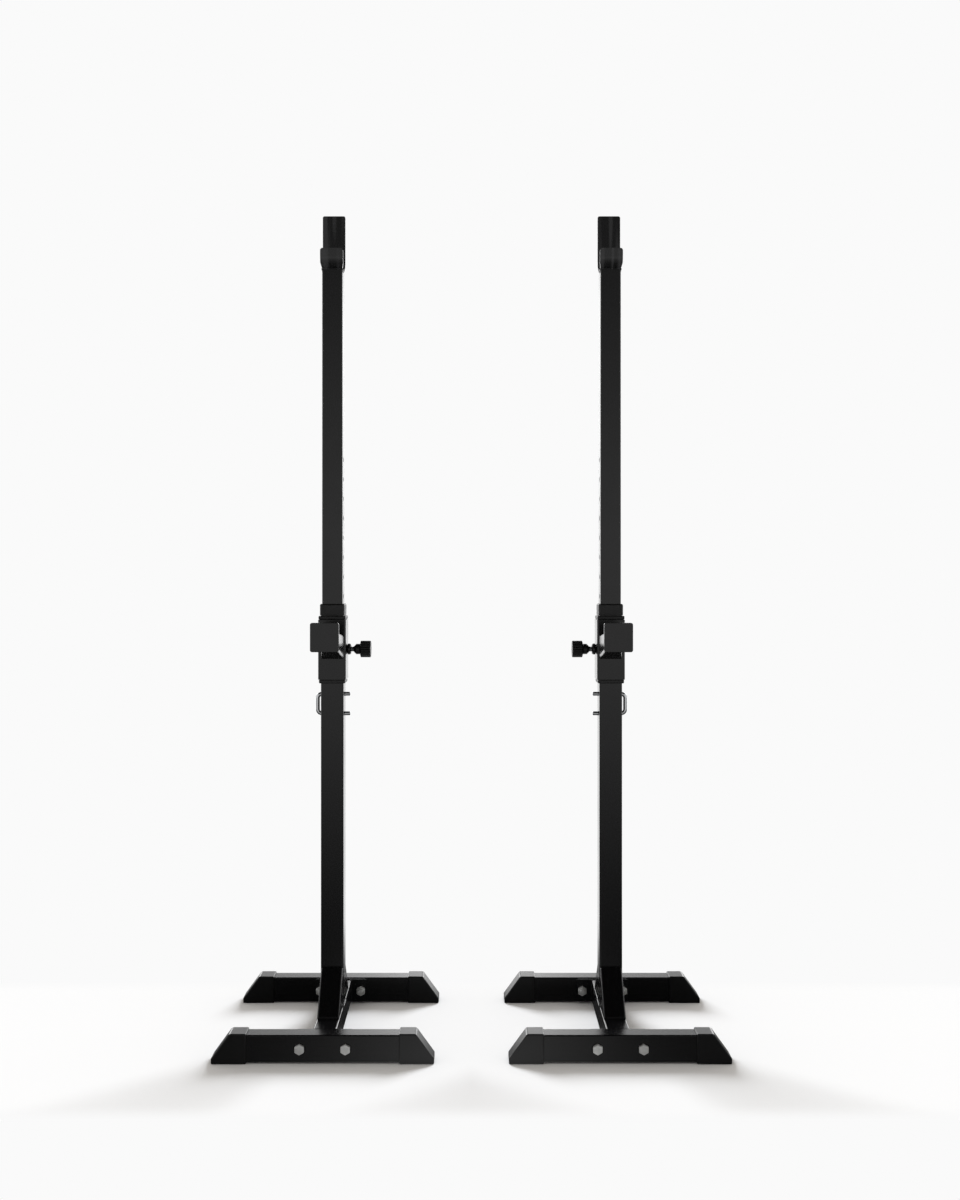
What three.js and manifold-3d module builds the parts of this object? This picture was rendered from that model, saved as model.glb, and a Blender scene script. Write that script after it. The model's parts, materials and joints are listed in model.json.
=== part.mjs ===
// A pair of free-standing squat stands. Each has two cross feet joined by a beam, an upright with a
// telescoping extension that carries the bar saddle, and a bar catch on a clamped sleeve.
// Millimetres, +Z up, -Y to the front. The origin is on the floor, midway between the two uprights.
import * as THREE from "three";
import { mergeVertices } from "three/addons/utils/BufferGeometryUtils.js";
import Module from "manifold-3d";

const wasm = await Module();
wasm.setup();

// Shared clearances
const seat = 0.3; // gap between pieces that are welded, bolted or pushed together
const cutPast = 6; // how far a cut runs on past the wall that it goes through
const mergeWithin = 0.0005; // vertices nearer than this are one vertex

// The pair
const standSpacing = 610; // from one upright's axis to the other's

// Cross feet
const footHeight = 56;
const footDepth = 40;
const footWall = 2;
const footCorner = 3;
const footSetback = 195; // from the upright's axis to a foot's centre line
const footShown = 313; // tube that shows between the two caps

// End caps of the feet
const capWall = 3;
const capLength = 72; // along the floor
const capTopLength = 35;
const capToe = 11.4; // height of the upright toe below the slope
const capGrip = 34; // how far the tube reaches into a cap
const capEdge = 2.2;
const capToeRadius = 4;
const capBrowRadius = 7;

// Bolts and nuts that hold the beam's end plates to the feet
const boltDiameter = 12;
const boltPlay = 0.5; // around the shank in its hole
const boltPitch = 94;
const boltAcrossFlats = 19;
const boltHeadHeight = 7.5;
const boltHeadChamfer = 1;
const nutHeight = 10;
const threadEnd = 4;

// Base beam
const beamSize = 50;
const beamWall = 2;
const beamCorner = 4;
const flangeWidth = 120;
const flangeHeight = 52;
const flangeThickness = 5;
const flangeCorner = 4;
const ventDiameter = 20;

// Gussets
const gussetReach = 82;
const gussetHeight = 86;
const gussetWall = 3;
const gussetToe = 4; // blunt end of the slope on the beam
const gussetBrow = 5; // blunt end of the slope on the upright

// Upright
const uprightSize = 50;
const uprightWall = 2;
const uprightCorner = 4;
const uprightHeight = 877;

// Collar on top of the upright
const collarSize = 54;
const collarHeight = 25;
const collarRoof = 3.5;
const collarBrow = 3.2; // rounding of its top edge
const collarChamfer = 1.2; // on its lower edge
const dimpleDiameter = 8;
const dimpleDepth = 0.9;
const dimpleAside = 18; // from the upright's axis

// Extension
const extensionSize = 45;
const extensionWall = 2;
const extensionCorner = 3.5;
const extensionEnd = 25; // tube below the lowest hole
const extensionShown = 730; // from the collar's top to the saddle's floor
const holePitch = 43;
const holeCount = 14;

// Plug in the extension's lower end
const plugFlange = 3;
const plugDepth = 14;
const plugWall = 2.5;

// Lock pin
const pinDiameter = 9.3;
const pinPlay = 0.6; // around a leg in its hole
const pinBendReach = 14; // bend's outside from the upright's face
const pinTipReach = 13;
const pinBendRadius = 9;
const pinBelowBush = 20.4; // from the lower bush down to the upper leg

// Bar saddle
const saddleThickness = 5;
const saddleWidth = 50;
const saddleGap = 50; // between the lip and the back plate
const saddleLipHeight = 46; // above the saddle's lowest point
const saddleBackHeight = 129.5;
const saddleLipTaper = 10; // height over which the lip widens from the floor's width
const saddleEarTip = 10.5; // above the saddle's lowest point
const saddleEarRoot = 19.5;
const saddleLipCorner = 5.5;
const saddleBackCorner = 4;

// Catch sleeve and its bushes
const sleeveSize = 61;
const sleeveWall = 2;
const sleeveCorner = 4;
const sleeveLength = 131;
const sleevePlay = 1.2; // between the collar and the upper bush
const bushFlange = 8;
const bushSkirt = 22;
const bushChamfer = 2;
const upperBushSize = 59.5;
const lowerBushSize = 57.7;

// Bar catch
const catchReach = 150; // lip's front face from the sleeve's front
const lipWidth = 60;
const lipHeight = 61;
const lipThickness = 7;
const lipCorner = 4.5;
const catchWidth = 53; // of the folded sheet behind the lip
const catchSheet = 6;
const catchFloorSheet = 5;
const catchFloorAtLip = 111; // above the sleeve's lower end, as the next four are
const catchFloorAtSleeve = 97.5;
const catchKeelAtLip = 75.5;
const catchKeelAtSleeve = 45.5;
const lipBottom = 69;
const catchFlangeAtLip = 33.5; // width of the folded lower flange
const catchFlangeAtSleeve = 49;

// Clamp screw
const clampRise = 65.5; // above the sleeve's lower end
const bossDiameter = 24.5;
const bossLength = 9;
const bossChamfer = 2.4;
const studDiameter = 12;
const studPlay = 0.4; // around the stud in the boss and in the sleeve
const studShown = 6; // between the boss and the knob
const studInKnob = 20;
const hubDiameter = 23;
const hubLength = 14.5;
const hubTaper = 5;
const headDiameter = 36.5;
const headLength = 23;
const headRound = 2;
const ribCount = 18;
const ribDepth = 1.5;

// Smoothness
const roundSteps = 18;
const boreSteps = 10;
const cornerSteps = 2;
const mouldedSteps = 2; // across the rounded edge of a moulded piece
const ribSteps = 3;
const pinSides = 10;
const pinSteps = 32;

// Places that follow from the sizes above
const floorOfFeet = capWall;
const middleOfFeet = floorOfFeet + footHeight / 2;
const beamTop = middleOfFeet + beamSize / 2;
const beamReach = footSetback - footDepth / 2 - seat;
const uprightFoot = beamTop + seat;
const uprightTop = uprightFoot + uprightHeight;
const collarTop = uprightTop + seat + collarRoof;
const collarBottom = collarTop - collarHeight;
const sleeveTop = collarBottom - sleevePlay - bushFlange - seat;
const sleeveBottom = sleeveTop - sleeveLength;
const upperLeg = sleeveBottom - seat - bushFlange - pinBelowBush - pinDiameter / 2;
const pinHeight = upperLeg - holePitch; // of the lower leg
const saddleFloor = collarTop + extensionShown;
const halfUpright = uprightSize / 2;
const halfSleeve = sleeveSize / 2;

// Materials
const satinBlack = new THREE.MeshStandardMaterial({ color: 0x1b1c1e, roughness: 0.42, metalness: 0.35 });
const mouldedBlack = new THREE.MeshStandardMaterial({ color: 0x141414, roughness: 0.6, metalness: 0 });
const zinc = new THREE.MeshStandardMaterial({ color: 0xb4b6b4, roughness: 0.38, metalness: 1 });
const chrome = new THREE.MeshStandardMaterial({ color: 0xd6d8da, roughness: 0.12, metalness: 1 });
const steel = new THREE.MeshStandardMaterial({ color: 0x8d8f90, roughness: 0.35, metalness: 1 });

// Closed geometry to a solid, and back
function solidOf(geometry) {
  geometry.deleteAttribute("normal");
  geometry.deleteAttribute("uv");
  const merged = mergeVertices(geometry, mergeWithin);
  return new wasm.Manifold(
    new wasm.Mesh({
      numProp: 3,
      vertProperties: merged.attributes.position.array,
      triVerts: new Uint32Array(merged.index.array),
    }),
  );
}

function geometryOf(solid) {
  const mesh = solid.getMesh();
  const geometry = new THREE.BufferGeometry();
  geometry.setAttribute("position", new THREE.BufferAttribute(mesh.vertProperties, 3));
  geometry.setIndex(new THREE.BufferAttribute(mesh.triVerts, 1));
  const faceted = geometry.toNonIndexed();
  faceted.computeVertexNormals();
  return faceted;
}

// An outline lies in one of three planes and is extruded both ways from it.
const axes = {
  x: new THREE.Vector3(1, 0, 0),
  y: new THREE.Vector3(0, 1, 0),
  z: new THREE.Vector3(0, 0, 1),
  minusY: new THREE.Vector3(0, -1, 0),
};
const planes = {
  xy: new THREE.Matrix4().makeBasis(axes.x, axes.y, axes.z),
  yz: new THREE.Matrix4().makeBasis(axes.y, axes.z, axes.x),
  xz: new THREE.Matrix4().makeBasis(axes.x, axes.z, axes.minusY),
};

function prism(shape, depth, plane, edge = 0, edgeSteps = 1) {
  const geometry = new THREE.ExtrudeGeometry(shape, {
    depth: depth - 2 * edge,
    bevelEnabled: edge > 0,
    bevelThickness: edge,
    bevelSize: edge,
    bevelOffset: -edge,
    bevelSegments: edgeSteps,
    curveSegments: cornerSteps,
  });
  geometry.translate(0, 0, edge - depth / 2);
  return solidOf(geometry.applyMatrix4(planes[plane]));
}

// A round bar along x, y or z, centred on the origin
function roundBar(diameter, length, axis, steps = roundSteps) {
  const geometry = new THREE.CylinderGeometry(diameter / 2, diameter / 2, length, steps);
  if (axis === "x") geometry.rotateZ(Math.PI / 2);
  if (axis === "z") geometry.rotateX(Math.PI / 2);
  return solidOf(geometry);
}

// A turned piece along x, from its profile as [distance along x, radius]
function turned(profile, steps = roundSteps) {
  const points = profile.map(([along, radius]) => new THREE.Vector2(radius, along));
  return solidOf(new THREE.LatheGeometry(points, steps).rotateZ(-Math.PI / 2));
}

// A polygon whose corners, given as [x, y, radius], are rounded
function outline(corners) {
  const shape = new THREE.Shape();
  corners.forEach(([x, y, radius = 0], i) => {
    const corner = new THREE.Vector2(x, y);
    const before = new THREE.Vector2(...corners.at(i - 1).slice(0, 2)).sub(corner);
    const after = new THREE.Vector2(...corners[(i + 1) % corners.length].slice(0, 2)).sub(corner);
    const half = Math.acos(before.dot(after) / before.length() / after.length()) / 2;
    const cutBack = radius / Math.tan(half);
    const start = corner.clone().addScaledVector(before.normalize(), cutBack);
    const end = corner.clone().addScaledVector(after.normalize(), cutBack);
    if (i === 0) shape.moveTo(start.x, start.y);
    else shape.lineTo(start.x, start.y);
    if (radius > 0) shape.quadraticCurveTo(x, y, end.x, end.y);
  });
  shape.closePath();
  return shape;
}

function roundedBox(width, height, radius) {
  const x = width / 2;
  const y = height / 2;
  return outline([
    [-x, -y, radius],
    [x, -y, radius],
    [x, y, radius],
    [-x, y, radius],
  ]);
}

function tubeSection(width, height, wall, corner) {
  const section = roundedBox(width, height, corner);
  const innerCorner = Math.max(corner - wall, corner / 4);
  section.holes.push(roundedBox(width - 2 * wall, height - 2 * wall, innerCorner));
  return section;
}

function cutAll(solid, cutters) {
  return cutters.reduce((rest, cutter) => rest.subtract(cutter), solid);
}

const boltPlaces = [-boltPitch / 2, boltPitch / 2];

function foot() {
  const length = footShown + 2 * (capGrip - seat);
  const tube = prism(tubeSection(footDepth, footHeight, footWall, footCorner), length, "yz");
  const holes = boltPlaces.map((x) =>
    roundBar(boltDiameter + 2 * boltPlay, footDepth + 2 * cutPast, "y", boreSteps).translate(x, 0, 0),
  );
  return cutAll(tube, holes);
}

// The mouth is at x = 0 and the sloped nose points along +x, with the floor at z = 0.
function cap() {
  const height = capWall + footHeight + capWall;
  const body = prism(
    outline([
      [0, 0, capEdge],
      [capLength, 0, capEdge],
      [capLength, capToe, capToeRadius],
      [capTopLength, height, capBrowRadius],
      [0, height, capEdge],
    ]),
    capWall + footDepth + capWall,
    "xz",
    capEdge,
    mouldedSteps,
  );
  const socket = prism(
    roundedBox(footDepth + 2 * seat, footHeight + 2 * seat, footCorner),
    capGrip + cutPast,
    "yz",
  );
  return body.subtract(socket.translate((capGrip - cutPast) / 2, 0, capWall + footHeight / 2));
}

// The head's underside is at y = 0 and the shank points along +y.
function bolt() {
  const shank = footDepth + flangeThickness + nutHeight + threadEnd + 4 * seat;
  const corner = boltAcrossFlats / Math.sqrt(3);
  const head = solidOf(new THREE.CylinderGeometry(corner, corner, boltHeadHeight, 6));
  const crown = solidOf(
    new THREE.CylinderGeometry(corner, corner - boltHeadChamfer, boltHeadChamfer, roundSteps),
  );
  const barrel = roundBar(2 * corner, boltHeadHeight - boltHeadChamfer, "y");
  const crowned = crown
    .translate(0, -boltHeadHeight + boltHeadChamfer / 2, 0)
    .add(barrel.translate(0, -(boltHeadHeight - boltHeadChamfer) / 2, 0));
  const shankBar = roundBar(boltDiameter, shank + boltHeadChamfer, "y", boreSteps);
  return head
    .translate(0, -boltHeadHeight / 2, 0)
    .intersect(crowned)
    .add(shankBar.translate(0, (shank - boltHeadChamfer) / 2, 0));
}

function nut() {
  const corner = boltAcrossFlats / Math.sqrt(3);
  const body = solidOf(new THREE.CylinderGeometry(corner, corner, nutHeight, 6));
  return body.subtract(roundBar(boltDiameter + 2 * seat, nutHeight + 2 * cutPast, "y", boreSteps));
}

// The origin is under the upright at the height of the feet's centre line.
function baseBeam() {
  const section = tubeSection(beamSize, beamSize, beamWall, beamCorner);
  const tube = prism(section, 2 * beamReach - flangeThickness, "xz");
  const plate = roundedBox(flangeWidth, flangeHeight, flangeCorner);
  const plateSet = beamReach - flangeThickness / 2;
  const plates = [-plateSet, plateSet].map((y) => prism(plate, flangeThickness, "xz").translate(0, y, 0));
  const through = 2 * (beamReach + cutPast);
  const holes = boltPlaces.map((x) =>
    roundBar(boltDiameter + 2 * boltPlay, through, "y", boreSteps).translate(x, 0, 0),
  );
  const vent = roundBar(ventDiameter, through, "y", boreSteps);
  return cutAll(tube.add(plates[0]).add(plates[1]), [...holes, vent]);
}

// A folded channel: two cheeks and a sloped web, open towards the beam and the upright. Its corner
// is at the origin and it reaches along -y.
function gusset() {
  const side = [
    [0, 0],
    [-gussetReach, 0],
    [-gussetReach, gussetToe],
    [-gussetBrow, gussetHeight],
    [0, gussetHeight],
  ];
  const slope = Math.atan2(gussetHeight - gussetToe, gussetReach - gussetBrow);
  const lower = gussetWall / Math.cos(slope);
  const hollow = side.map(([y, z]) => [y + cutPast * (y === 0), z - lower - cutPast * (z === 0)]);
  const skin = prism(outline([...side].reverse()), uprightSize, "yz");
  const room = prism(outline([...hollow].reverse()), uprightSize - 2 * gussetWall, "yz");
  return skin.subtract(room);
}

function pinHoles(count, tube) {
  return Array.from({ length: count }, (_, i) =>
    roundBar(pinDiameter + 2 * pinPlay, tube + 2 * cutPast, "x", boreSteps).translate(
      0,
      0,
      i * holePitch,
    ),
  );
}

// The lower end is at z = 0.
function upright() {
  const section = tubeSection(uprightSize, uprightSize, uprightWall, uprightCorner);
  const tube = prism(section, uprightHeight, "xy").translate(0, 0, uprightHeight / 2);
  const holes = pinHoles(2, uprightSize).map((hole) => hole.translate(0, 0, pinHeight - uprightFoot));
  return cutAll(tube, holes);
}

// The collar's lower rim is at z = 0.
function collar() {
  const plan = roundedBox(collarSize, collarSize, uprightCorner);
  const block = prism(plan, collarHeight, "xy", collarChamfer);
  const brow = prism(plan, 2 * collarHeight, "xy", collarBrow, mouldedSteps);
  const body = block.translate(0, 0, collarHeight / 2).intersect(brow);
  const pocketSize = uprightSize + 2 * seat;
  const pocketDepth = collarHeight - collarRoof;
  const pocket = prism(roundedBox(pocketSize, pocketSize, uprightCorner), pocketDepth + cutPast, "xy");
  const mouthSize = extensionSize + 2 * seat;
  const mouth = prism(roundedBox(mouthSize, mouthSize, extensionCorner), collarHeight + 2 * cutPast, "xy");
  const dimple = roundBar(dimpleDiameter, 2 * dimpleDepth, "y", boreSteps);
  return cutAll(body, [
    pocket.translate(0, 0, (pocketDepth - cutPast) / 2),
    mouth.translate(0, 0, collarHeight / 2),
    dimple.translate(-dimpleAside, -collarSize / 2, collarHeight / 2),
  ]);
}

// The saddle's back plate is flush with the extension's rear face.
const saddleRadius = saddleGap / 2 + saddleThickness;
const saddleAxisY = extensionSize / 2 - saddleRadius;

// The extension's lowest hole is at z = 0. Its upper end is coped to the saddle's round floor.
function extension() {
  const floor = saddleFloor - pinHeight;
  const top = floor + saddleRadius;
  const section = tubeSection(extensionSize, extensionSize, extensionWall, extensionCorner);
  const tube = prism(section, top + extensionEnd, "xy").translate(0, 0, (top - extensionEnd) / 2);
  const cope = roundBar(2 * (saddleRadius + seat), extensionSize + 2 * cutPast, "x", 2 * roundSteps);
  return cutAll(tube, [cope.translate(0, saddleAxisY, top), ...pinHoles(holeCount, extensionSize)]);
}

// The flange's top is at z = 0, under the tube's end, and the skirt stands in the tube.
function extensionPlug() {
  const skirtSize = extensionSize - 2 * (extensionWall + seat);
  const hollowSize = skirtSize - 2 * plugWall;
  const flange = prism(roundedBox(extensionSize, extensionSize, extensionCorner), plugFlange, "xy");
  const skirt = prism(roundedBox(skirtSize, skirtSize, extensionCorner), plugDepth + plugFlange, "xy");
  const hollow = prism(roundedBox(hollowSize, hollowSize, extensionCorner), plugDepth + cutPast, "xy");
  return flange
    .translate(0, 0, -plugFlange / 2)
    .add(skirt.translate(0, 0, (plugDepth - plugFlange) / 2))
    .subtract(hollow.translate(0, 0, (plugDepth + cutPast) / 2));
}

// The lower leg's axis is at z = 0 and the bend lies on the outer side, towards -x.
function lockPin() {
  const bend = -(halfUpright + pinBendReach - pinDiameter / 2);
  const tip = halfUpright + pinTipReach;
  const path = new THREE.CurvePath();
  const at = (x, z) => new THREE.Vector3(x, 0, z);
  path.add(new THREE.LineCurve3(at(tip, 0), at(bend + pinBendRadius, 0)));
  path.add(
    new THREE.QuadraticBezierCurve3(at(bend + pinBendRadius, 0), at(bend, 0), at(bend, pinBendRadius)),
  );
  path.add(new THREE.LineCurve3(at(bend, pinBendRadius), at(bend, holePitch - pinBendRadius)));
  path.add(
    new THREE.QuadraticBezierCurve3(
      at(bend, holePitch - pinBendRadius),
      at(bend, holePitch),
      at(bend + pinBendRadius, holePitch),
    ),
  );
  path.add(new THREE.LineCurve3(at(bend + pinBendRadius, holePitch), at(tip, holePitch)));
  const section = new THREE.Shape().absarc(0, 0, pinDiameter / 2, 0, 2 * Math.PI);
  return solidOf(
    new THREE.ExtrudeGeometry(section, {
      extrudePath: path,
      steps: pinSteps,
      curveSegments: pinSides / 2,
    }),
  );
}

// The saddle's lowest point is at z = 0 and its floor follows the x axis.
function barSaddle() {
  const inner = saddleGap / 2;
  const strip = new THREE.Shape();
  strip.moveTo(-saddleRadius, saddleLipHeight);
  strip.lineTo(-saddleRadius, saddleRadius);
  strip.absarc(0, saddleRadius, saddleRadius, Math.PI, 2 * Math.PI);
  strip.lineTo(saddleRadius, saddleBackHeight);
  strip.lineTo(inner, saddleBackHeight);
  strip.lineTo(inner, saddleRadius);
  strip.absarc(0, saddleRadius, inner, 2 * Math.PI, Math.PI, true);
  strip.lineTo(-inner, saddleLipHeight);
  strip.closePath();
  const bent = solidOf(
    new THREE.ExtrudeGeometry(strip, {
      depth: saddleWidth,
      bevelEnabled: false,
      curveSegments: roundSteps / 2,
    })
      .translate(0, 0, -saddleWidth / 2)
      .applyMatrix4(planes.yz),
  );
  const wide = saddleWidth / 2;
  const narrow = extensionSize / 2;
  const lipShape = outline([
    [-narrow, -cutPast],
    [narrow, -cutPast],
    [narrow, saddleThickness],
    [wide, saddleThickness + saddleLipTaper],
    [wide, saddleLipHeight, saddleLipCorner],
    [-wide, saddleLipHeight, saddleLipCorner],
    [-wide, saddleThickness + saddleLipTaper],
    [-narrow, saddleThickness],
  ]);
  const backShape = outline([
    [-narrow, -cutPast],
    [narrow, -cutPast],
    [narrow, saddleEarRoot],
    [wide, saddleEarTip],
    [wide, saddleBackHeight, saddleBackCorner],
    [-wide, saddleBackHeight, saddleBackCorner],
    [-wide, saddleEarTip],
    [-narrow, saddleEarRoot],
  ]);
  const depth = saddleRadius + cutPast;
  const lipSide = prism(lipShape, depth, "xz").translate(0, -depth / 2, 0);
  const backSide = prism(backShape, depth, "xz").translate(0, depth / 2, 0);
  return bent.intersect(lipSide.add(backSide));
}

// The lower end is at z = 0. The stud's hole is in the inner wall only.
function catchSleeve() {
  const section = tubeSection(sleeveSize, sleeveSize, sleeveWall, sleeveCorner);
  const tube = prism(section, sleeveLength, "xy").translate(0, 0, sleeveLength / 2);
  const hole = roundBar(studDiameter + 2 * studPlay, 2 * (sleeveWall + cutPast), "x");
  return tube.subtract(hole.translate(halfSleeve, 0, clampRise));
}

// A guide bush for the sleeve's upper end, with its flange's underside at z = 0 and its skirt below.
function bush(flangeSize) {
  const skirtSize = sleeveSize - 2 * (sleeveWall + seat);
  const boreSize = uprightSize + 2 * seat;
  const flange = prism(roundedBox(flangeSize, flangeSize, sleeveCorner), bushFlange, "xy", bushChamfer);
  const skirt = prism(roundedBox(skirtSize, skirtSize, sleeveCorner / 2), bushSkirt + bushFlange / 2, "xy");
  const bore = prism(roundedBox(boreSize, boreSize, uprightCorner), 2 * (bushSkirt + cutPast), "xy");
  return flange
    .translate(0, 0, bushFlange / 2)
    .add(skirt.translate(0, 0, (bushFlange / 2 - bushSkirt) / 2))
    .subtract(bore);
}

// A folded bracket with its lip welded on: the web stands on the inner side, the floor slopes down to
// the sleeve, and a tapered flange is folded in along the web's lower edge. The origin is on the
// sleeve's axis at its lower end.
function barCatch() {
  const back = -halfSleeve - seat;
  const lipFront = -halfSleeve - catchReach;
  const lipBack = lipFront + lipThickness;
  const weldIn = lipThickness / 2;
  const start = lipBack - weldIn;
  const lip = prism(roundedBox(lipWidth, lipHeight, lipCorner), lipThickness, "xz").translate(
    0,
    (lipFront + lipBack) / 2,
    lipBottom + lipHeight / 2,
  );
  const strip = (atLip, atSleeve, thickness, width) =>
    prism(
      outline([
        [start, atLip - thickness],
        [back, atSleeve - thickness],
        [back, atSleeve],
        [start, atLip],
      ]),
      width,
      "yz",
    );
  const floor = strip(catchFloorAtLip, catchFloorAtSleeve, catchFloorSheet, catchWidth);
  const web = prism(
    outline([
      [start, catchKeelAtLip],
      [back, catchKeelAtSleeve],
      [back, catchFloorAtSleeve - catchFloorSheet / 2],
      [start, catchFloorAtLip - catchFloorSheet / 2],
    ]),
    catchSheet,
    "yz",
  ).translate((catchWidth - catchSheet) / 2, 0, 0);
  const keel = strip(catchKeelAtLip + catchSheet, catchKeelAtSleeve + catchSheet, catchSheet, catchWidth);
  const inner = catchWidth / 2;
  const keelPlan = prism(
    outline([
      [inner, start],
      [inner, back],
      [inner - catchFlangeAtSleeve, back],
      [inner - catchFlangeAtLip, start],
    ]),
    2 * sleeveLength,
    "xy",
  );
  return lip.add(floor).add(web).add(keel.intersect(keelPlan));
}

// The boss's seat on the sleeve is at x = 0.
function clampBoss() {
  const outer = bossDiameter / 2;
  const bore = studDiameter / 2 + studPlay;
  return turned([
    [0, bore],
    [0, outer - bossChamfer],
    [bossChamfer, outer],
    [bossLength - bossChamfer, outer],
    [bossLength, outer - bossChamfer],
    [bossLength, bore],
    [0, bore],
  ]);
}

// The stud's pressing end is at x = 0, and the knob's hub starts where the stud stops showing.
const studShownFrom = halfSleeve + seat + bossLength - halfUpright - seat;

function clampStud() {
  const length = studShownFrom + studShown + studInKnob;
  return roundBar(studDiameter, length, "x").translate(length / 2, 0, 0);
}

// The hub's end face is at x = 0.
function clampKnob() {
  const ribbed = new THREE.Shape(
    Array.from({ length: ribCount * ribSteps }, (_, i) => {
      const turn = (2 * Math.PI * i) / ribSteps / ribCount;
      const radius = headDiameter / 2 - (ribDepth * (1 - Math.cos(ribCount * turn))) / 2;
      return new THREE.Vector2(radius * Math.cos(turn), radius * Math.sin(turn));
    }),
  );
  const head = prism(ribbed, headLength, "yz", headRound, mouldedSteps).translate(
    hubLength + headLength / 2,
    0,
    0,
  );
  const outer = hubDiameter / 2;
  const hub = turned([
    [0, 0],
    [0, outer - hubTaper],
    [hubTaper, outer],
    [hubLength + headLength / 2, outer],
    [hubLength + headLength / 2, 0],
  ]);
  const bore = roundBar(studDiameter + 2 * seat, studInKnob + seat + cutPast, "x");
  return head.add(hub).subtract(bore.translate((studInKnob + seat - cutPast) / 2, 0, 0));
}

function piece(name, solid, material, x = 0, y = 0, z = 0) {
  const mesh = new THREE.Mesh(geometryOf(solid), material);
  mesh.name = name;
  mesh.position.set(x, y, z);
  return mesh;
}

// One cross foot with its caps, bolts and nuts. It is built as the front foot and turned for the rear.
function footGroup(side, end) {
  const group = new THREE.Group();
  const inward = end === "front" ? "inner" : "outer";
  const outward = end === "front" ? "outer" : "inner";
  group.add(piece(`${side}_foot_${end}`, foot(), satinBlack, 0, -footSetback, middleOfFeet));
  const capSet = footShown / 2;
  const inwardCap = piece(`${side}_cap_${end}_${inward}`, cap(), mouldedBlack, capSet, -footSetback);
  const outwardCap = piece(`${side}_cap_${end}_${outward}`, cap(), mouldedBlack, -capSet, -footSetback);
  outwardCap.rotation.z = Math.PI;
  group.add(inwardCap, outwardCap);
  const headSeat = -footSetback - footDepth / 2 - seat;
  const nutMiddle = -beamReach + flangeThickness + seat + nutHeight / 2;
  [outward, inward].forEach((name, i) => {
    const place = boltPlaces[i];
    group.add(piece(`${side}_bolt_${end}_${name}`, bolt(), zinc, place, headSeat, middleOfFeet));
    group.add(piece(`${side}_nut_${end}_${name}`, nut(), zinc, place, nutMiddle, middleOfFeet));
  });
  if (end === "rear") group.rotation.z = Math.PI;
  return group;
}

function baseGroup(side) {
  const group = new THREE.Group();
  group.add(footGroup(side, "front"), footGroup(side, "rear"));
  group.add(piece(`${side}_base_beam`, baseBeam(), satinBlack, 0, 0, middleOfFeet));
  group.add(piece(`${side}_upright`, upright(), satinBlack, 0, 0, uprightFoot));
  const gussetSet = halfUpright + seat;
  const rearGusset = piece(`${side}_gusset_rear`, gusset(), satinBlack, 0, gussetSet, uprightFoot);
  rearGusset.rotation.z = Math.PI;
  group.add(piece(`${side}_gusset_front`, gusset(), satinBlack, 0, -gussetSet, uprightFoot), rearGusset);
  group.add(piece(`${side}_collar`, collar(), mouldedBlack, 0, 0, collarBottom));
  return group;
}

function extensionGroup(side) {
  const group = new THREE.Group();
  group.add(piece(`${side}_extension`, extension(), satinBlack));
  group.add(piece(`${side}_extension_plug`, extensionPlug(), mouldedBlack, 0, 0, -extensionEnd - seat));
  const saddleRise = saddleFloor - pinHeight;
  group.add(piece(`${side}_bar_saddle`, barSaddle(), satinBlack, 0, saddleAxisY, saddleRise));
  group.position.z = pinHeight;
  return group;
}

function catchGroup(side) {
  const group = new THREE.Group();
  group.add(piece(`${side}_catch_sleeve`, catchSleeve(), satinBlack));
  group.add(piece(`${side}_bush_upper`, bush(upperBushSize), mouldedBlack, 0, 0, sleeveLength + seat));
  const lowerBush = piece(`${side}_bush_lower`, bush(lowerBushSize), mouldedBlack, 0, 0, -seat);
  lowerBush.rotation.x = Math.PI;
  group.add(lowerBush);
  group.add(piece(`${side}_bar_catch`, barCatch(), satinBlack));
  group.add(piece(`${side}_clamp_boss`, clampBoss(), satinBlack, halfSleeve + seat, 0, clampRise));
  const studSet = halfUpright + seat;
  group.add(piece(`${side}_clamp_stud`, clampStud(), steel, studSet, 0, clampRise));
  const knobSet = studSet + studShownFrom + studShown;
  group.add(piece(`${side}_clamp_knob`, clampKnob(), mouldedBlack, knobSet, 0, clampRise));
  group.position.z = sleeveBottom;
  return group;
}

// The clamp's side of a stand faces the other stand, so the second stand mirrors the first.
function stand(side) {
  const group = new THREE.Group();
  group.add(baseGroup(side), extensionGroup(side), catchGroup(side));
  group.add(piece(`${side}_lock_pin`, lockPin(), chrome, 0, 0, pinHeight));
  return group;
}

const squatStands = new THREE.Group();
const leftStand = stand("left");
leftStand.position.x = -standSpacing / 2;
const rightStand = stand("right");
rightStand.position.x = standSpacing / 2;
rightStand.scale.x = -1;
squatStands.add(leftStand, rightStand);

export default squatStands;
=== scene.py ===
import json
from math import atan2, cos, pi, radians, sin, sqrt, tan

import bmesh
import bpy
from mathutils import Matrix, Vector

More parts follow.
